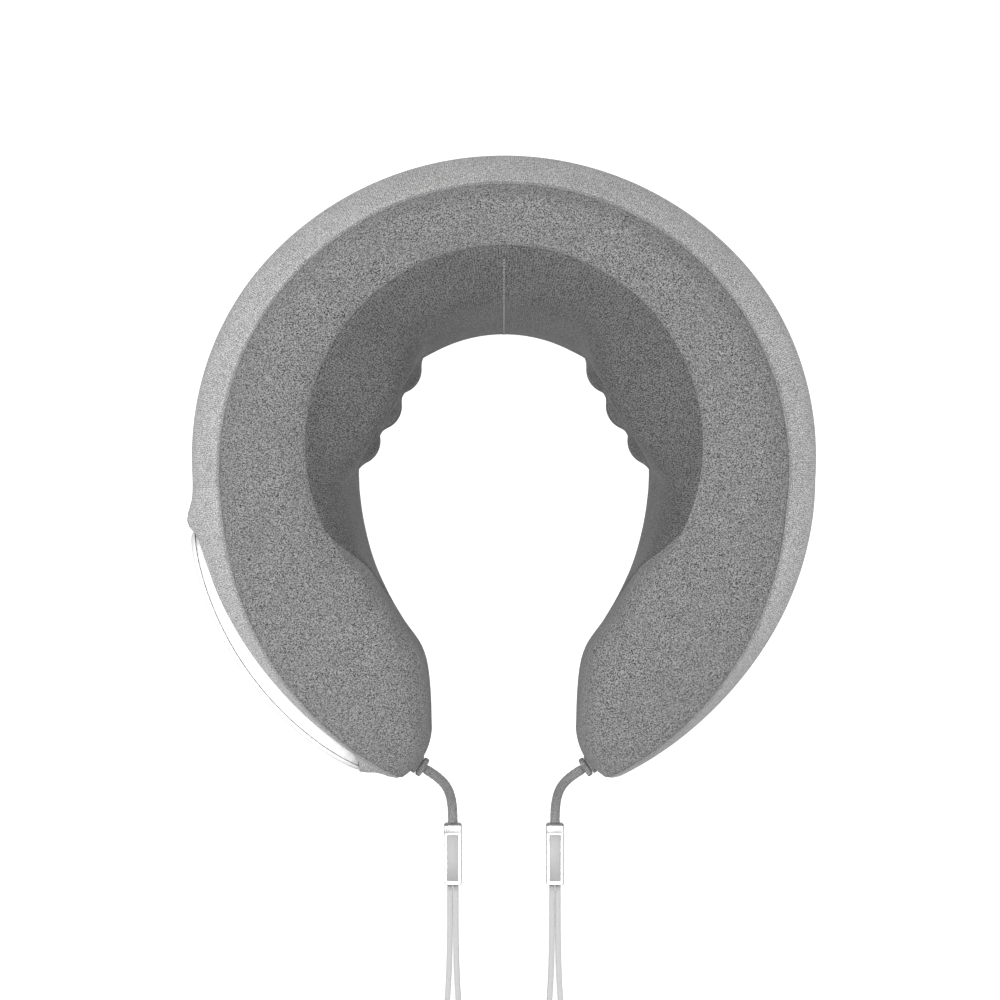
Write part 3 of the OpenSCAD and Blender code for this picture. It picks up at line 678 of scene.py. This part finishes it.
def build_skin():
    """The right half's skin: welded points, faces, panel labels, weave coordinates and seam lines."""
    steps = int(round(ARM_END / STATION_STEP))
    stations = [ARM_END * i / steps for i in range(steps + 1)]
    strips = {name: [] for name in ROWS}
    for a in stations:
        for name, pts in strip_points(a).items():
            strips[name].append(pts)
    verts, faces, labels, weave = [], [], [], []
    count = 0
    lines = {}
    for name, columns in strips.items():
        grid = np.array(columns)
        if name in ("neck", "wrap"):
            flat = press_round_head(grid.reshape(-1, 3))
            grid = flat.reshape(grid.shape)
        rows, cols = grid.shape[:2]
        u = run_length(grid[:, cols // 2])[:, None]
        v = run_length(grid[rows // 3])[None, :]
        verts.append(grid.reshape(-1, 3))
        weave.append(np.stack(np.broadcast_arrays(u, v, 0.0), axis=-1).reshape(-1, 3))
        faces += grid_faces(rows, cols, count)
        labels += [name] * ((rows - 1) * (cols - 1))
        lines[name] = count + np.arange(rows) * cols + cols - 1
        lines[name + "_rear"] = count + np.arange(cols)
        count += rows * cols
    ring = [p for columns in strips.values() for p in columns[-1][:-1]]
    rings = [np.array(ring)] + cap_grid(ring)
    cap = np.vstack(rings + [rings[-1].mean(axis=0)[None, :]])
    n = len(ring)
    verts.append(cap)
    weave.append(cap[:, [1, 2, 0]])
    cap_faces = grid_faces(len(rings), n, count, closed=True)
    tip = count + len(cap) - 1
    inner = count + (len(rings) - 1) * n
    cap_faces += [[inner + i, inner + (i + 1) % n, tip] for i in range(n)]
    faces += cap_faces
    labels += ["cap"] * len(cap_faces)
    verts = np.vstack(verts)
    weave = np.vstack(weave)
    rounded = np.round(verts, 4)
    _, index, back = np.unique(rounded, axis=0, return_index=True, return_inverse=True)
    back = back.ravel()
    verts = verts[index]
    faces, source = merged_faces(faces, back)
    lines = {name: back[ids] for name, ids in lines.items()}
    outwards = vertex_normals(verts, faces) * (verts - BODY_MIDDLE)
    if np.sum(outwards) < 0:
        faces = flipped(faces)
    return verts, faces, [labels[k] for k in source], weave[index], lines


SIM_FRAMES = 20
PIN_MARGIN = 8
SEAM_FROM_Z = 4
MIDDLE_X = 0.01
EASE_IN = 12.0
GROUND = 0.3
PANEL_OF = {
    "neck": "inner_fabric",
    "wrap": "top_fabric",
    "top": "top_fabric",
    "cap": "top_fabric",
    "outer": "band_fabric",
    "base": "base_fabric",
}
# Material slot of each panel, and the CAD node it stands for
PANELS = {
    "inner_fabric": ("stretch_knit", "inner_panel"),
    "top_fabric": ("fleece_top", "top_panel"),
    "band_fabric": ("band_knit", "outer_band"),
    "base_fabric": ("base_cloth", "bottom_panel"),
}


def seam_points(faces, labels):
    """Points shared by two different panels."""
    seen = {}
    for f, label in zip(faces, labels):
        for i in f:
            seen.setdefault(i, set()).add(PANEL_OF[label])
    return {i for i, panels in seen.items() if len(panels) > 1}


def inflate(verts, faces, pinned):
    """Cloth simulation: light pressure crowns each panel between its pinned seams."""
    obj = raw_object("skin_sim", verts, faces)
    group = obj.vertex_groups.new(name="pins")
    group.add([int(i) for i in pinned], 1.0, "REPLACE")
    cloth = obj.modifiers.new("Cloth", "CLOTH")
    settings = cloth.settings
    settings.quality = 6
    settings.mass = 0.3
    settings.tension_stiffness = 25
    settings.compression_stiffness = 25
    settings.shear_stiffness = 12
    settings.bending_stiffness = 2.0
    settings.vertex_group_mass = "pins"
    settings.use_pressure = True
    settings.uniform_pressure_force = 4.0
    settings.effector_weights.gravity = 0.0
    cloth.collision_settings.use_collision = False
    scene = bpy.context.scene
    for number in range(1, SIM_FRAMES + 1):
        scene.frame_set(number)
    shown = obj.evaluated_get(bpy.context.evaluated_depsgraph_get())
    moved = np.array([v.co for v in shown.data.vertices], float) / MM
    scene.frame_set(1)
    bpy.data.objects.remove(obj)
    return moved


def crowned(verts, faces, labels):
    """The skin after its simulation, with each point's move capped.

    Seams, the base, the ring round the head and the middle of the body are pinned."""
    d, across, up = head_coordinates(verts)
    near_head = (d > 0) & (np.hypot(across, up) < RIM_R + PIN_MARGIN)
    base = {i for f, label in zip(faces, labels) if label == "base" for i in f}
    middle = verts[:, 0] < MIDDLE_X
    pinned = seam_points(faces, labels) | base | set(np.where(near_head | middle)[0])
    step = inflate(verts, faces, pinned) - verts
    size = np.linalg.norm(step, axis=1, keepdims=True)
    step *= np.minimum(1.0, CROWN_LIMIT / np.maximum(size, 1e-9))
    out = verts + step * np.clip(verts[:, :1] / EASE_IN, 0, 1)
    out[:, 2] = np.maximum(out[:, 2], GROUND)
    return out


def ease_seams(verts, faces, labels):
    """Sinks each seam a little, so that the panels meet in a stitched valley."""
    normals = vertex_normals(verts, faces)
    out = verts.copy()
    for i in seam_points(faces, labels):
        if verts[i, 2] > SEAM_FROM_Z:
            out[i] -= normals[i] * SEAM_DEPTH
    return out


# ---- cover pieces


def flex_blend(obj):
    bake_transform(obj)


def cut(obj, cutter):
    """Cuts the cutter's shape out of obj for good."""
    modifier = obj.modifiers.new("cut", "BOOLEAN")
    modifier.operation = "DIFFERENCE"
    modifier.solver = "EXACT"
    modifier.object = cutter
    bake(obj)
    bpy.data.objects.remove(cutter)


def bake(obj):
    shown = obj.evaluated_get(bpy.context.evaluated_depsgraph_get())
    mesh = bpy.data.meshes.new_from_object(shown)
    obj.modifiers.clear()
    obj.data = mesh


def circle(radius, n):
    return [
        (radius * math.cos(q), radius * math.sin(q))
        for q in np.linspace(0, 2 * math.pi, n, endpoint=False)
    ]


def prism(origin, out, ends, along, outline):
    """Points and faces of an outline in the along-Z plane, pulled between two distances out."""
    verts = [
        origin + out * d + along * x + Z_DIR * z
        for d in ends
        for x, z in outline
    ]
    return np.array(verts), tube_faces(2, len(outline))


def head_cutter(side):
    """A cylinder along a head's axis, as wide as the patch's opening."""
    ends = (RIM_D - 30, RIM_D + 25)
    verts, faces = prism(HEAD_CENTRE, HEAD_OUT, ends, HEAD_ACROSS, circle(RIM_R, 96))
    return closed_object("cutter", on_side(verts, side), faces)


POD_CENTRE = np.array([0, POD_CY, POD_Z])
POD_MIDDLE = sum(POD_PHIS) / 2
POD_GAP = 0.3
# Direction, height, and the angle each lip fades over on its two sides
LIPS = ((97.9, 4.4, 3.2, 2.0), (153.4, 4.6, 0.9, 2.6))
LIP_HALF_H = 21.0
LIP_FROM_R = 120


def pod_outline(grow, steps=16):
    """The pod's half-round-ended outline, as (distance along, height) from its middle."""
    half_h = POD_H / 2 + grow
    half_l = POD_R * math.sin(math.radians((POD_PHIS[1] - POD_PHIS[0]) / 2)) + grow
    straight = half_l - half_h
    right = [
        (straight + half_h * math.cos(q), half_h * math.sin(q))
        for q in np.linspace(-math.pi / 2, math.pi / 2, steps + 1)
    ]
    right += [(x, half_h) for x in np.linspace(straight, -straight, 2 * steps + 1)[1:-1]]
    return np.array(right + [(-x, -z) for x, z in right])


def pod_cutter(phi, outline, inwards, outwards):
    """A prism through the pod's wall at direction phi of the left arm."""
    out, along = pod_directions(phi)
    ends = (POD_R - inwards, POD_R + outwards)
    return closed_object("cutter", *prism(POD_CENTRE, out, ends, along, outline))


def pod_directions(phi):
    """Outward and along directions of the left arm's pod at direction phi."""
    t = math.radians(phi)
    return np.array([-math.sin(t), math.cos(t), 0.0]), np.array([-math.cos(t), -math.sin(t), 0.0])


def raise_pod_lips(verts):
    """Lifts the left band into a lip at each end of the key pod."""
    out = verts.copy()
    r = np.hypot(verts[:, 0], verts[:, 1])
    a = np.degrees(np.arctan2(-verts[:, 0], verts[:, 1])) % 360
    near = np.exp(-(((verts[:, 2] - POD_Z) / LIP_HALF_H) ** 4))
    lift = np.zeros(len(verts))
    for peak, height, before, after in LIPS:
        width = np.where(a < peak, before, after)
        lift += height * np.exp(-(((a - peak) / width) ** 2))
    lift = lift * near * (r > LIP_FROM_R)
    out[:, :2] += (lift / np.maximum(r, 1))[:, None] * verts[:, :2]
    return out


def build_cover():
    """The four cloth panels of each half, with their seams, openings and stitches."""
    verts, faces, labels, weave, lines = build_skin()
    verts = crowned(verts, faces, labels)
    verts = ease_seams(verts, faces, labels)
    normals = vertex_normals(verts, faces)
    normals[verts[:, 0] < MIDDLE_X, 0] = 0
    for side, s in SIDES.items():
        points = on_side(verts, side)
        if s < 0:
            points = raise_pod_lips(points)
        outward = on_side(normals, side)
        for panel, (slot, node) in PANELS.items():
            mine = [f for f, label in zip(faces, labels) if PANEL_OF[label] == panel]
            if s < 0:
                mine = flipped(mine)
            local, local_faces, used = compact(points, mine)
            shell, shell_faces = thicken(local, local_faces, outward[used], FABRIC_T)
            obj = raw_object(f"{side}_{panel}", shell, shell_faces)
            set_weave(obj.data, np.vstack([weave[used], weave[used]]))
            shade_smooth(obj.data, 50)
            obj.data.materials.append(MATERIALS[slot])
            if panel == "inner_fabric":
                cut(obj, head_cutter(side))
            if panel == "band_fabric" and s < 0:
                cut(obj, pod_cutter(POD_MIDDLE, pod_outline(POD_GAP), inwards=34, outwards=30))
            flex_blend(obj)
            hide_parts(node)
            if panel == "top_fabric":
                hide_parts(f"{side}_arm_cover")
        build_stitches(side, points, outward, lines)


# ---- head patches


PATCH_OVERLAP = 0.8
PATCH_T = 0.9
PATCH_EDGE_T = 0.1
PATCH_DROP = 0.12
NODE_COVER = 1.2
SAG = 0.055
SOLVER_ROUNDS = 2500


def membrane(rings=40, spokes=144):
    """Height of taut fabric over a head's nodes: a sheet that rests on every node."""
    r = np.linspace(0, RIM_R + PATCH_OVERLAP, rings + 1)
    q = np.linspace(0, 2 * math.pi, spokes, endpoint=False)
    x = r[:, None] * np.cos(q)
    y = r[:, None] * np.sin(q)
    reach = NODE_R + NODE_COVER
    tip = RIM_D - HEAD_REACH
    floor = np.full(x.shape, -np.inf)
    for k in range(NODE_COUNT):
        angle = 2 * math.pi * k / NODE_COUNT
        gap = (x - NODE_RING_R * math.sin(angle)) ** 2 + (y - NODE_RING_R * math.cos(angle)) ** 2
        ball = tip - reach + np.sqrt(np.maximum(reach**2 - gap, 0))
        floor = np.maximum(floor, np.where(gap < reach**2, ball, -np.inf))
    floor[-1] = 0
    h = np.maximum(floor, 0)
    dr = r[1] - r[0]
    dq = q[1] - q[0]
    rr = r[1:-1, None]
    for _ in range(SOLVER_ROUNDS):
        inner = h[1:-1]
        ring_term = (h[2:] + h[:-2]) / dr**2 + (h[2:] - h[:-2]) / (2 * rr * dr)
        spoke_term = (np.roll(inner, 1, 1) + np.roll(inner, -1, 1)) / (rr * dq) ** 2
        solved = (ring_term + spoke_term - SAG) / (2 / dr**2 + 2 / (rr * dq) ** 2)
        h[1:-1] = np.maximum(solved, floor[1:-1])
        h[0] = max(h[1].mean(), floor[0, 0])
        h[-1] = 0
    return r, x, y, h


def build_patches():
    """The stretch fabric over each head, which turns with its nodes."""
    r, x, y, h = membrane()
    front = RIM_D - h - PATCH_DROP
    back = front + np.where(r[:, None] < RIM_R - RIM_FLAT, PATCH_T, PATCH_EDGE_T)
    rings, spokes = x.shape
    verts, faces = [], []
    for d in (front, back):
        sheet = HEAD_OUT * d[..., None] + HEAD_ACROSS * x[..., None] + Z_DIR * y[..., None]
        sheet = sheet + HEAD_CENTRE
        base = len(verts)
        verts.append(sheet[0, 0])
        verts += list(sheet[1:].reshape(-1, 3))
        fan = [[base, base + 1 + i, base + 1 + (i + 1) % spokes] for i in range(spokes)]
        layer = fan + grid_faces(rings - 1, spokes, base + 1, closed=True)
        faces += layer if d is front else flipped(layer)
    n = 1 + (rings - 1) * spokes
    rim = 1 + (rings - 2) * spokes
    faces += [
        [rim + i, rim + n + i, rim + n + (i + 1) % spokes, rim + (i + 1) % spokes]
        for i in range(spokes)
    ]
    verts = np.array(verts)
    weave = np.concatenate([[[0, 0, 0]], np.stack([x[1:], y[1:], x[1:] * 0], -1).reshape(-1, 3)])
    for side in SIDES:
        obj = make_object(f"{side}_head_fabric", on_side(verts, side), faces, "stretch_knit", 60)
        set_weave(obj.data, np.vstack([weave, weave]))
        place(obj, "stretch_knit", f"{side}_head", f"{side}_stretch_patch")


# ---- stitches


STITCH_PITCH = 1.25
STITCH_REACH = 1.1
STITCH_SLANT = 0.45
STITCH_LIFT = 0.75
REAR_STITCH_PITCH = 1.75
REAR_STITCH_REACH = 0.6
REAR_STITCH_LIFT = 0.15
# Place along a stitch and thickness there, as shares, from one rounded end to the other
STITCH_PROFILE = ((0.0, 0.35), (0.12, 0.9), (0.5, 1.0), (0.88, 0.9), (1.0, 0.35))


def stitch_row(name, centres, halves, radius):
    """Many short round-ended threads, each reaching half its length either way of its centre."""
    verts, faces = [], []
    sides = 6
    for centre, half in zip(centres, halves):
        other = unit(np.cross(half, [0.3, 0.2, 0.93]))
        third = np.cross(unit(half), other)
        base = len(verts)
        for along, size in STITCH_PROFILE:
            middle = centre + half * (2 * along - 1)
            verts += [middle + x * other + y * third for x, y in circle(radius * size, sides)]
        faces += [[base + i for i in f] for f in tube_faces(len(STITCH_PROFILE), sides)]
    return make_object(name, np.array(verts), faces, "thread", 180)


def stitch_places(points, outward, ids, pitch):
    """Evenly spaced places along a line of points, with the surface's and the line's directions."""
    run = run_length(points[ids])
    at = np.arange(pitch / 2, run[-1], pitch)
    index = np.clip(np.searchsorted(run, at) - 1, 0, len(ids) - 2)
    share = (at - run[index]) / (run[index + 1] - run[index])
    a, b = ids[index], ids[index + 1]
    step = points[b] - points[a]
    return points[a] + step * share[:, None], outward[a], unit(step)


def build_stitches(side, points, outward, lines):
    """Overlock stitches across the outer seam, and a line of them up the rear of the neck panel."""
    spots, normal, run = stitch_places(points, outward, lines["top"], STITCH_PITCH)
    halves = np.cross(normal, run) * STITCH_REACH + run * STITCH_SLANT
    obj = stitch_row(f"{side}_seam_stitches", spots + normal * STITCH_LIFT, halves, 0.28)
    flex_blend(obj)
    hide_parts("top_panel")
    if side == "right":
        ids = lines["neck_rear"][2:-2]
        spots, normal, run = stitch_places(points, outward, ids, REAR_STITCH_PITCH)
        centres = spots + normal * REAR_STITCH_LIFT
        obj = stitch_row("rear_seam_stitches", centres, run * REAR_STITCH_REACH, 0.3)
        place(obj, "stretch_knit", "core", "inner_panel")


# ---- straps


TAB_ALONG = 20.9
TAB_Z = 30.0
TAB_GAP = 0.3
# Name, distance out from the arm's end and half thickness of each ply
TAB_PLIES = (("inner", -0.6, 1.3), ("outer", 2.2, 1.5))
TAB_HALVES = (4.7, 7.0)
SOCKET_GAP = 0.3
CORD_OUT = 2.6 + CORD_R
CORD_RIB = 0.09
CORD_WRINKLE = 0.05
CORD_INSET = 0.12
CORD_WALES = 12
STRAND_GAP = 0.3
# Place along the clasp from its cord end, and how far its sides and faces are drawn in there
CLASP_STATIONS = (
    (0.0, 0.75, 1.0),
    (-0.25, 0.3, 0.5),
    (-0.9, 0.0, 0.12),
    (-1.4, 0.0, 0.0),
    (-4.6, 0.0, 0.8),
    (-5.0, 0.0, 0.8),
    (-28.7, 0.0, 0.8),
    (-29.5, 0.05, 0.6),
    (-29.8, 0.4, 0.8),
)
PLATE_STATIONS = ((-5.2, 0.25), (-5.45, 0.0), (-28.0, 0.0), (-28.25, 0.25))
PLATE_MARGIN = 1.35
PLATE_HALF_T = 0.42
PLATE_DROP = 0.7


def strap_root():
    """Where a strap leaves the right arm's end, with the outward and the chord direction."""
    near, chord, out = arm_end()
    chord = unit(chord)
    return near + TAB_ALONG * chord + (CAP_BULGE + TAB_GAP) * out + TAB_Z * Z_DIR, out, chord


def strap_top(side):
    """Where a cord meets its clasp."""
    return np.array([SIDES[side] * CLASP["x"], CLASP["y"], CLASP["z"]])


def soft_slab(centre, axes, halves, power=5.0, rings=14, spokes=40):
    """A cushion-edged slab: a rounded box whose faces are slightly crowned."""
    verts = []

    def rounded(value):
        return math.copysign(abs(value) ** (2.0 / power), value)

    for i in range(rings + 1):
        v = -math.pi / 2 + math.pi * i / rings
        waist = rounded(math.cos(v))
        for k in range(spokes):
            u = 2 * math.pi * k / spokes
            p = (waist * rounded(math.cos(u)), waist * rounded(math.sin(u)), rounded(math.sin(v)))
            verts.append(centre + sum(h * c * ax for h, c, ax in zip(halves, p, axes)))
    return np.array(verts), grid_faces(rings + 1, spokes, closed=True)


def sweep(path, a, b, outlines):
    """Joins one closed outline in the a-b plane per place along a path into a capped tube."""
    verts = [p + x * a + z * b for p, outline in zip(path, outlines) for x, z in outline]
    return np.array(verts), tube_faces(len(path), len(outlines[0]))


def rounded_rectangle(half_w, half_h, radius, steps=5):
    points = []
    for quarter, (sx, sz) in enumerate(((1, 1), (-1, 1), (-1, -1), (1, -1))):
        cx, cz = sx * (half_w - radius), sz * (half_h - radius)
        for q in np.radians(np.linspace(90 * quarter, 90 * quarter + 90, steps + 1)):
            points.append((cx + radius * math.cos(q), cz + radius * math.sin(q)))
    return points


def build_tab(side):
    """Two folded plies sewn to the arm's end; the cord turns in a socket in the outer one."""
    foot, out, chord = strap_root()
    start = on_side(foot + CORD_OUT * out, side)
    for name, offset, half_t in TAB_PLIES:
        verts, faces = soft_slab(foot + out * offset, (chord, Z_DIR, out), (*TAB_HALVES, half_t))
        verts = on_side(verts, side)
        obj = make_object(f"{side}_tab_{name}_ply", verts, faces, "cord_knit", 60)
        if name == "outer":
            half = CORD_R + SOCKET_GAP
            socket = rounded_rectangle(half, half, half - 0.1, 12)
            path = [start + Z_DIR * z for z in (-half - 0.2, half + 0.2)]
            cut(obj, closed_object("cutter", *sweep(path, X_DIR, Y_DIR, [socket] * 2)))
        set_weave(obj.data, np.array([v.co for v in obj.data.vertices]) / MM)
        place(obj, "cord_knit", f"{side}_arm", f"{side}_strap_tab")


def bezier(p, t):
    u = 1 - t
    return u**3 * p[0] + 3 * t * u**2 * p[1] + 3 * t**2 * u * p[2] + t**3 * p[3]


def build_cord(side):
    """A knit tube with raised wales, from the tab to the clasp."""
    foot, out, _ = strap_root()
    start = foot + CORD_OUT * out
    clasp = strap_top("right")
    control = [start, start + 12 * out - 4 * Z_DIR, clasp + 16 * Y_DIR, clasp + 0.3 * Y_DIR]
    path = np.array([bezier(control, t) for t in np.linspace(0, 1, 91)])
    round_end = np.linspace(0.2, 0.98, 7)
    back = CORD_R * np.sqrt(1 - round_end**2)
    path = np.vstack([path[0] - unit(path[1] - path[0]) * back[:, None], path])
    size = np.concatenate([round_end, np.ones(len(path) - len(round_end))])
    length = run_length(path)
    spokes = 48
    verts, weave = [], []
    for p, d, along, tuck in zip(path, unit(np.gradient(path, axis=0)), length, size):
        a = unit(np.cross(d, Z_DIR))
        b = np.cross(a, d)
        for q in np.linspace(0, 2 * math.pi, spokes, endpoint=False):
            rib = CORD_RIB * math.cos(CORD_WALES * q)
            wrinkle = CORD_WRINKLE * math.sin(along * 2.1 + 2 * math.sin(3 * q))
            r = (CORD_R - CORD_INSET + rib + wrinkle) * tuck
            verts.append(p + r * (math.cos(q) * a + math.sin(q) * b))
            weave.append((q * CORD_R, along, 0))
    faces = tube_faces(len(path), spokes)
    obj = make_object(f"{side}_cord_tube", on_side(verts, side), faces, "cord_knit", 60)
    set_weave(obj.data, weave)
    place(obj, "cord_knit", f"{side}_cord_swing", f"{side}_cord")


def build_clasp(side):
    """A metal clasp with a sloped shoulder, and a brushed plate let into its face."""
    half_w, half_h = CLASP["w"] / 2, CLASP["h"] / 2
    top = strap_top(side)
    path = [top + Y_DIR * y for y, _, _ in CLASP_STATIONS]
    outlines = [rounded_rectangle(half_w - w, half_h - h, 0.9) for _, w, h in CLASP_STATIONS]
    verts, faces = sweep(path, X_DIR, Z_DIR, outlines)
    body = make_object(f"{side}_clasp_body", verts, faces, "clasp_metal", 30)
    path = [top + Y_DIR * y + Z_DIR * (half_h - PLATE_DROP) for y, _ in PLATE_STATIONS]
    plate_w = half_w - PLATE_MARGIN
    sizes = [(plate_w - edge, PLATE_HALF_T - edge / 2) for _, edge in PLATE_STATIONS]
    outlines = [rounded_rectangle(w, h, 0.14, 3) for w, h in sizes]
    verts, faces = sweep(path, X_DIR, Z_DIR, outlines)
    plate = make_object(f"{side}_clasp_plate", verts, faces, "clasp_plate", 30)
    for piece in (body, plate):
        place(piece, "clasp_metal", f"{side}_cord_swing", f"{side}_clasp")


def loop_half(t):
    """Half the gap between the two strands of a hand loop, at share t of its length."""
    return STRAND_GAP + 52 * t**3 * math.sqrt(max(0.0, 1 - t))


def build_loop(side):
    """One length of webbing, out from the clasp, round the far end and back."""
    half_t, half_w = STRAP_T / 2, STRAP_W / 2
    root = strap_top(side) - (CLASP["l"] + half_w + STRAND_GAP) * Y_DIR
    ts = 1 - (1 - np.linspace(0, 1, 60)) ** 1.8
    strand = [(half_t + max(0.0, loop_half(t) - STRAND_GAP - 0.03), -LOOP_LEN * t) for t in ts]
    strand = np.array(strand)
    strand[-1, 1] -= half_t
    start = [(strand[0, 0], y) for y in (4.9, 4.2, 3.2, 2.0, 0.8)]
    half = np.vstack([start, strand[1:]])
    path = np.vstack([half, half[:-1][::-1] * (-1, 1)])
    length = run_length(path)
    outline = rounded_rectangle(half_t, half_w, 0.55, 3)
    verts, weave = [], []
    for (x, y), d, along in zip(path, unit(np.gradient(path, axis=0)), length):
        side_dir = np.array([d[1], -d[0], 0.0])
        tall = math.sqrt(max(0.04, 1 - (y / half_w) ** 2)) if y > 0 else 1.0
        for px, pz in outline:
            belly = 1 - 0.10 * abs(pz / half_w) ** 3
            verts.append(root + x * X_DIR + y * Y_DIR + px * belly * side_dir + pz * tall * Z_DIR)
            weave.append((pz, along, 0))
    faces = tube_faces(len(path), len(outline))
    obj = make_object(f"{side}_loop_webbing", verts, faces, "webbing", 50)
    set_weave(obj.data, weave)
    place(obj, "webbing", f"{side}_loop", f"{side}_hand_loop")


def build_straps():
    for side in SIDES:
        build_tab(side)
        build_cord(side)
        build_clasp(side)
        build_loop(side)


POD_WALL = 2.2
POD_ROUND = 1.9
POD_CROWN = 0.3
KEY_EDGE = 0.4
# Direction of each opening in the pod's wall, and its outline
POD_OPENINGS = {
    "key_bezel": (136.0, rounded_rectangle(26.15, 9.15, 0.4)),
    "usb": (110.0, rounded_rectangle(4.6, 1.7, 1.65)),
    "lens": (119.5, circle(1.8, 32)),
}


def pod_ring(inset, r):
    out, along = pod_directions(POD_MIDDLE)
    return [
        POD_CENTRE + along * x + out * math.sqrt(r * r - x * x) + Z_DIR * z
        for x, z in pod_outline(-inset)
    ]


def build_pod():
    """The pod's white shell, crowned and with a rounded rim, and soft edges on its keys."""
    middle = POD_H / 2
    profile = [(inset, POD_R - POD_WALL) for inset in (middle, 12.0, 6.0, 2.0, 0.0)]
    profile.append((0.0, POD_R - POD_ROUND))
    for t in np.radians(np.linspace(15, 90, 6)):
        profile.append((POD_ROUND * (1 - math.cos(t)), POD_R - POD_ROUND * (1 - math.sin(t))))
    for inset in (4.0, 8.0, 12.0, 16.0, middle):
        profile.append((inset, POD_R + POD_CROWN * inset / middle))
    rings = [pod_ring(inset, r) for inset, r in profile]
    faces = grid_faces(len(rings), len(rings[0]), closed=True)
    obj = make_object("pod_cover", np.array(rings).reshape(-1, 3), faces, "pod_white", 35)
    for phi, outline in POD_OPENINGS.values():
        cut(obj, pod_cutter(phi, outline, inwards=8, outwards=8))
    place(obj, "pod_white", "left_arm", "pod_shell")
    for node in ("power_button", "mode_button", "heat_button"):
        bevel = frame["nodes"][node].modifiers.new("edge", "BEVEL")
        bevel.width = KEY_EDGE * MM
        bevel.segments = 3
        bevel.limit_method = "ANGLE"
        bevel.angle_limit = math.radians(50)


# ---- stage


CAMERA_AWAY = 2200.0
FRAME_W = 470.0
VIEW_CENTRE = (-1.9, -10.3)
SENSOR = 36.0
CLIP_END = 50
FLOOR_HALF = 15000
WORLD_LIGHT = 0.22
# Name, place and width in metres, and power in watts
LIGHTS = (
    ("key", (-1.3, 0.1, 1.4), 1.4, 17),
    ("fill", (1.3, -0.3, 1.4), 1.6, 11),
    ("front", (0.0, -1.4, 1.3), 1.6, 6),
    ("overhead", (0.0, 0.1, 2.1), 0.9, 30),
)


def build_stage():
    """A floor and a world that look white to the camera but light the object softly."""
    corners = [(x * FLOOR_HALF, y * FLOOR_HALF, 0) for x, y in ((-1, -1), (1, -1), (1, 1), (-1, 1))]
    floor = raw_object("floor", corners, [(0, 1, 2, 3)])
    s = Shader("floor")
    seen = s.node("ShaderNodeLightPath", {})["Is Camera Ray"]
    s.set(color=grey(0.3), roughness=0.8, emission_color=grey(1.0), glow=seen)
    floor.data.materials.append(s.material)
    camera_data = bpy.data.cameras.new("camera")
    camera_data.sensor_width = SENSOR
    camera_data.lens = SENSOR * CAMERA_AWAY / FRAME_W
    camera_data.clip_end = CLIP_END
    camera = add_object("camera", camera_data)
    camera.location = (VIEW_CENTRE[0] * MM, VIEW_CENTRE[1] * MM, (MID_H + CAMERA_AWAY) * MM)
    bpy.context.scene.camera = camera
    for row in LIGHTS:
        add_light(*row)
    world = bpy.data.worlds.new("world")
    bpy.context.scene.world = world
    world.use_nodes = True
    tree = world.node_tree
    background = tree.nodes["Background"]
    background.inputs["Color"].default_value = (1, 1, 1, 1)
    strength = tree.nodes.new("ShaderNodeMapRange")
    strength.inputs["To Min"].default_value = WORLD_LIGHT
    seen = tree.nodes.new("ShaderNodeLightPath").outputs["Is Camera Ray"]
    tree.links.new(seen, strength.inputs["Value"])
    tree.links.new(strength.outputs["Result"], background.inputs["Strength"])
    bpy.context.scene.view_settings.view_transform = "Standard"


def add_light(name, spot, size, power):
    data = bpy.data.lights.new(name, "AREA")
    data.size = size
    data.energy = power
    light = add_object(name, data)
    light.location = spot
    light.rotation_euler = (-Vector(spot)).to_track_quat("-Z", "Y").to_euler()


dress_cad_nodes()
build_cover()
build_patches()
build_straps()
build_pod()
build_stage()
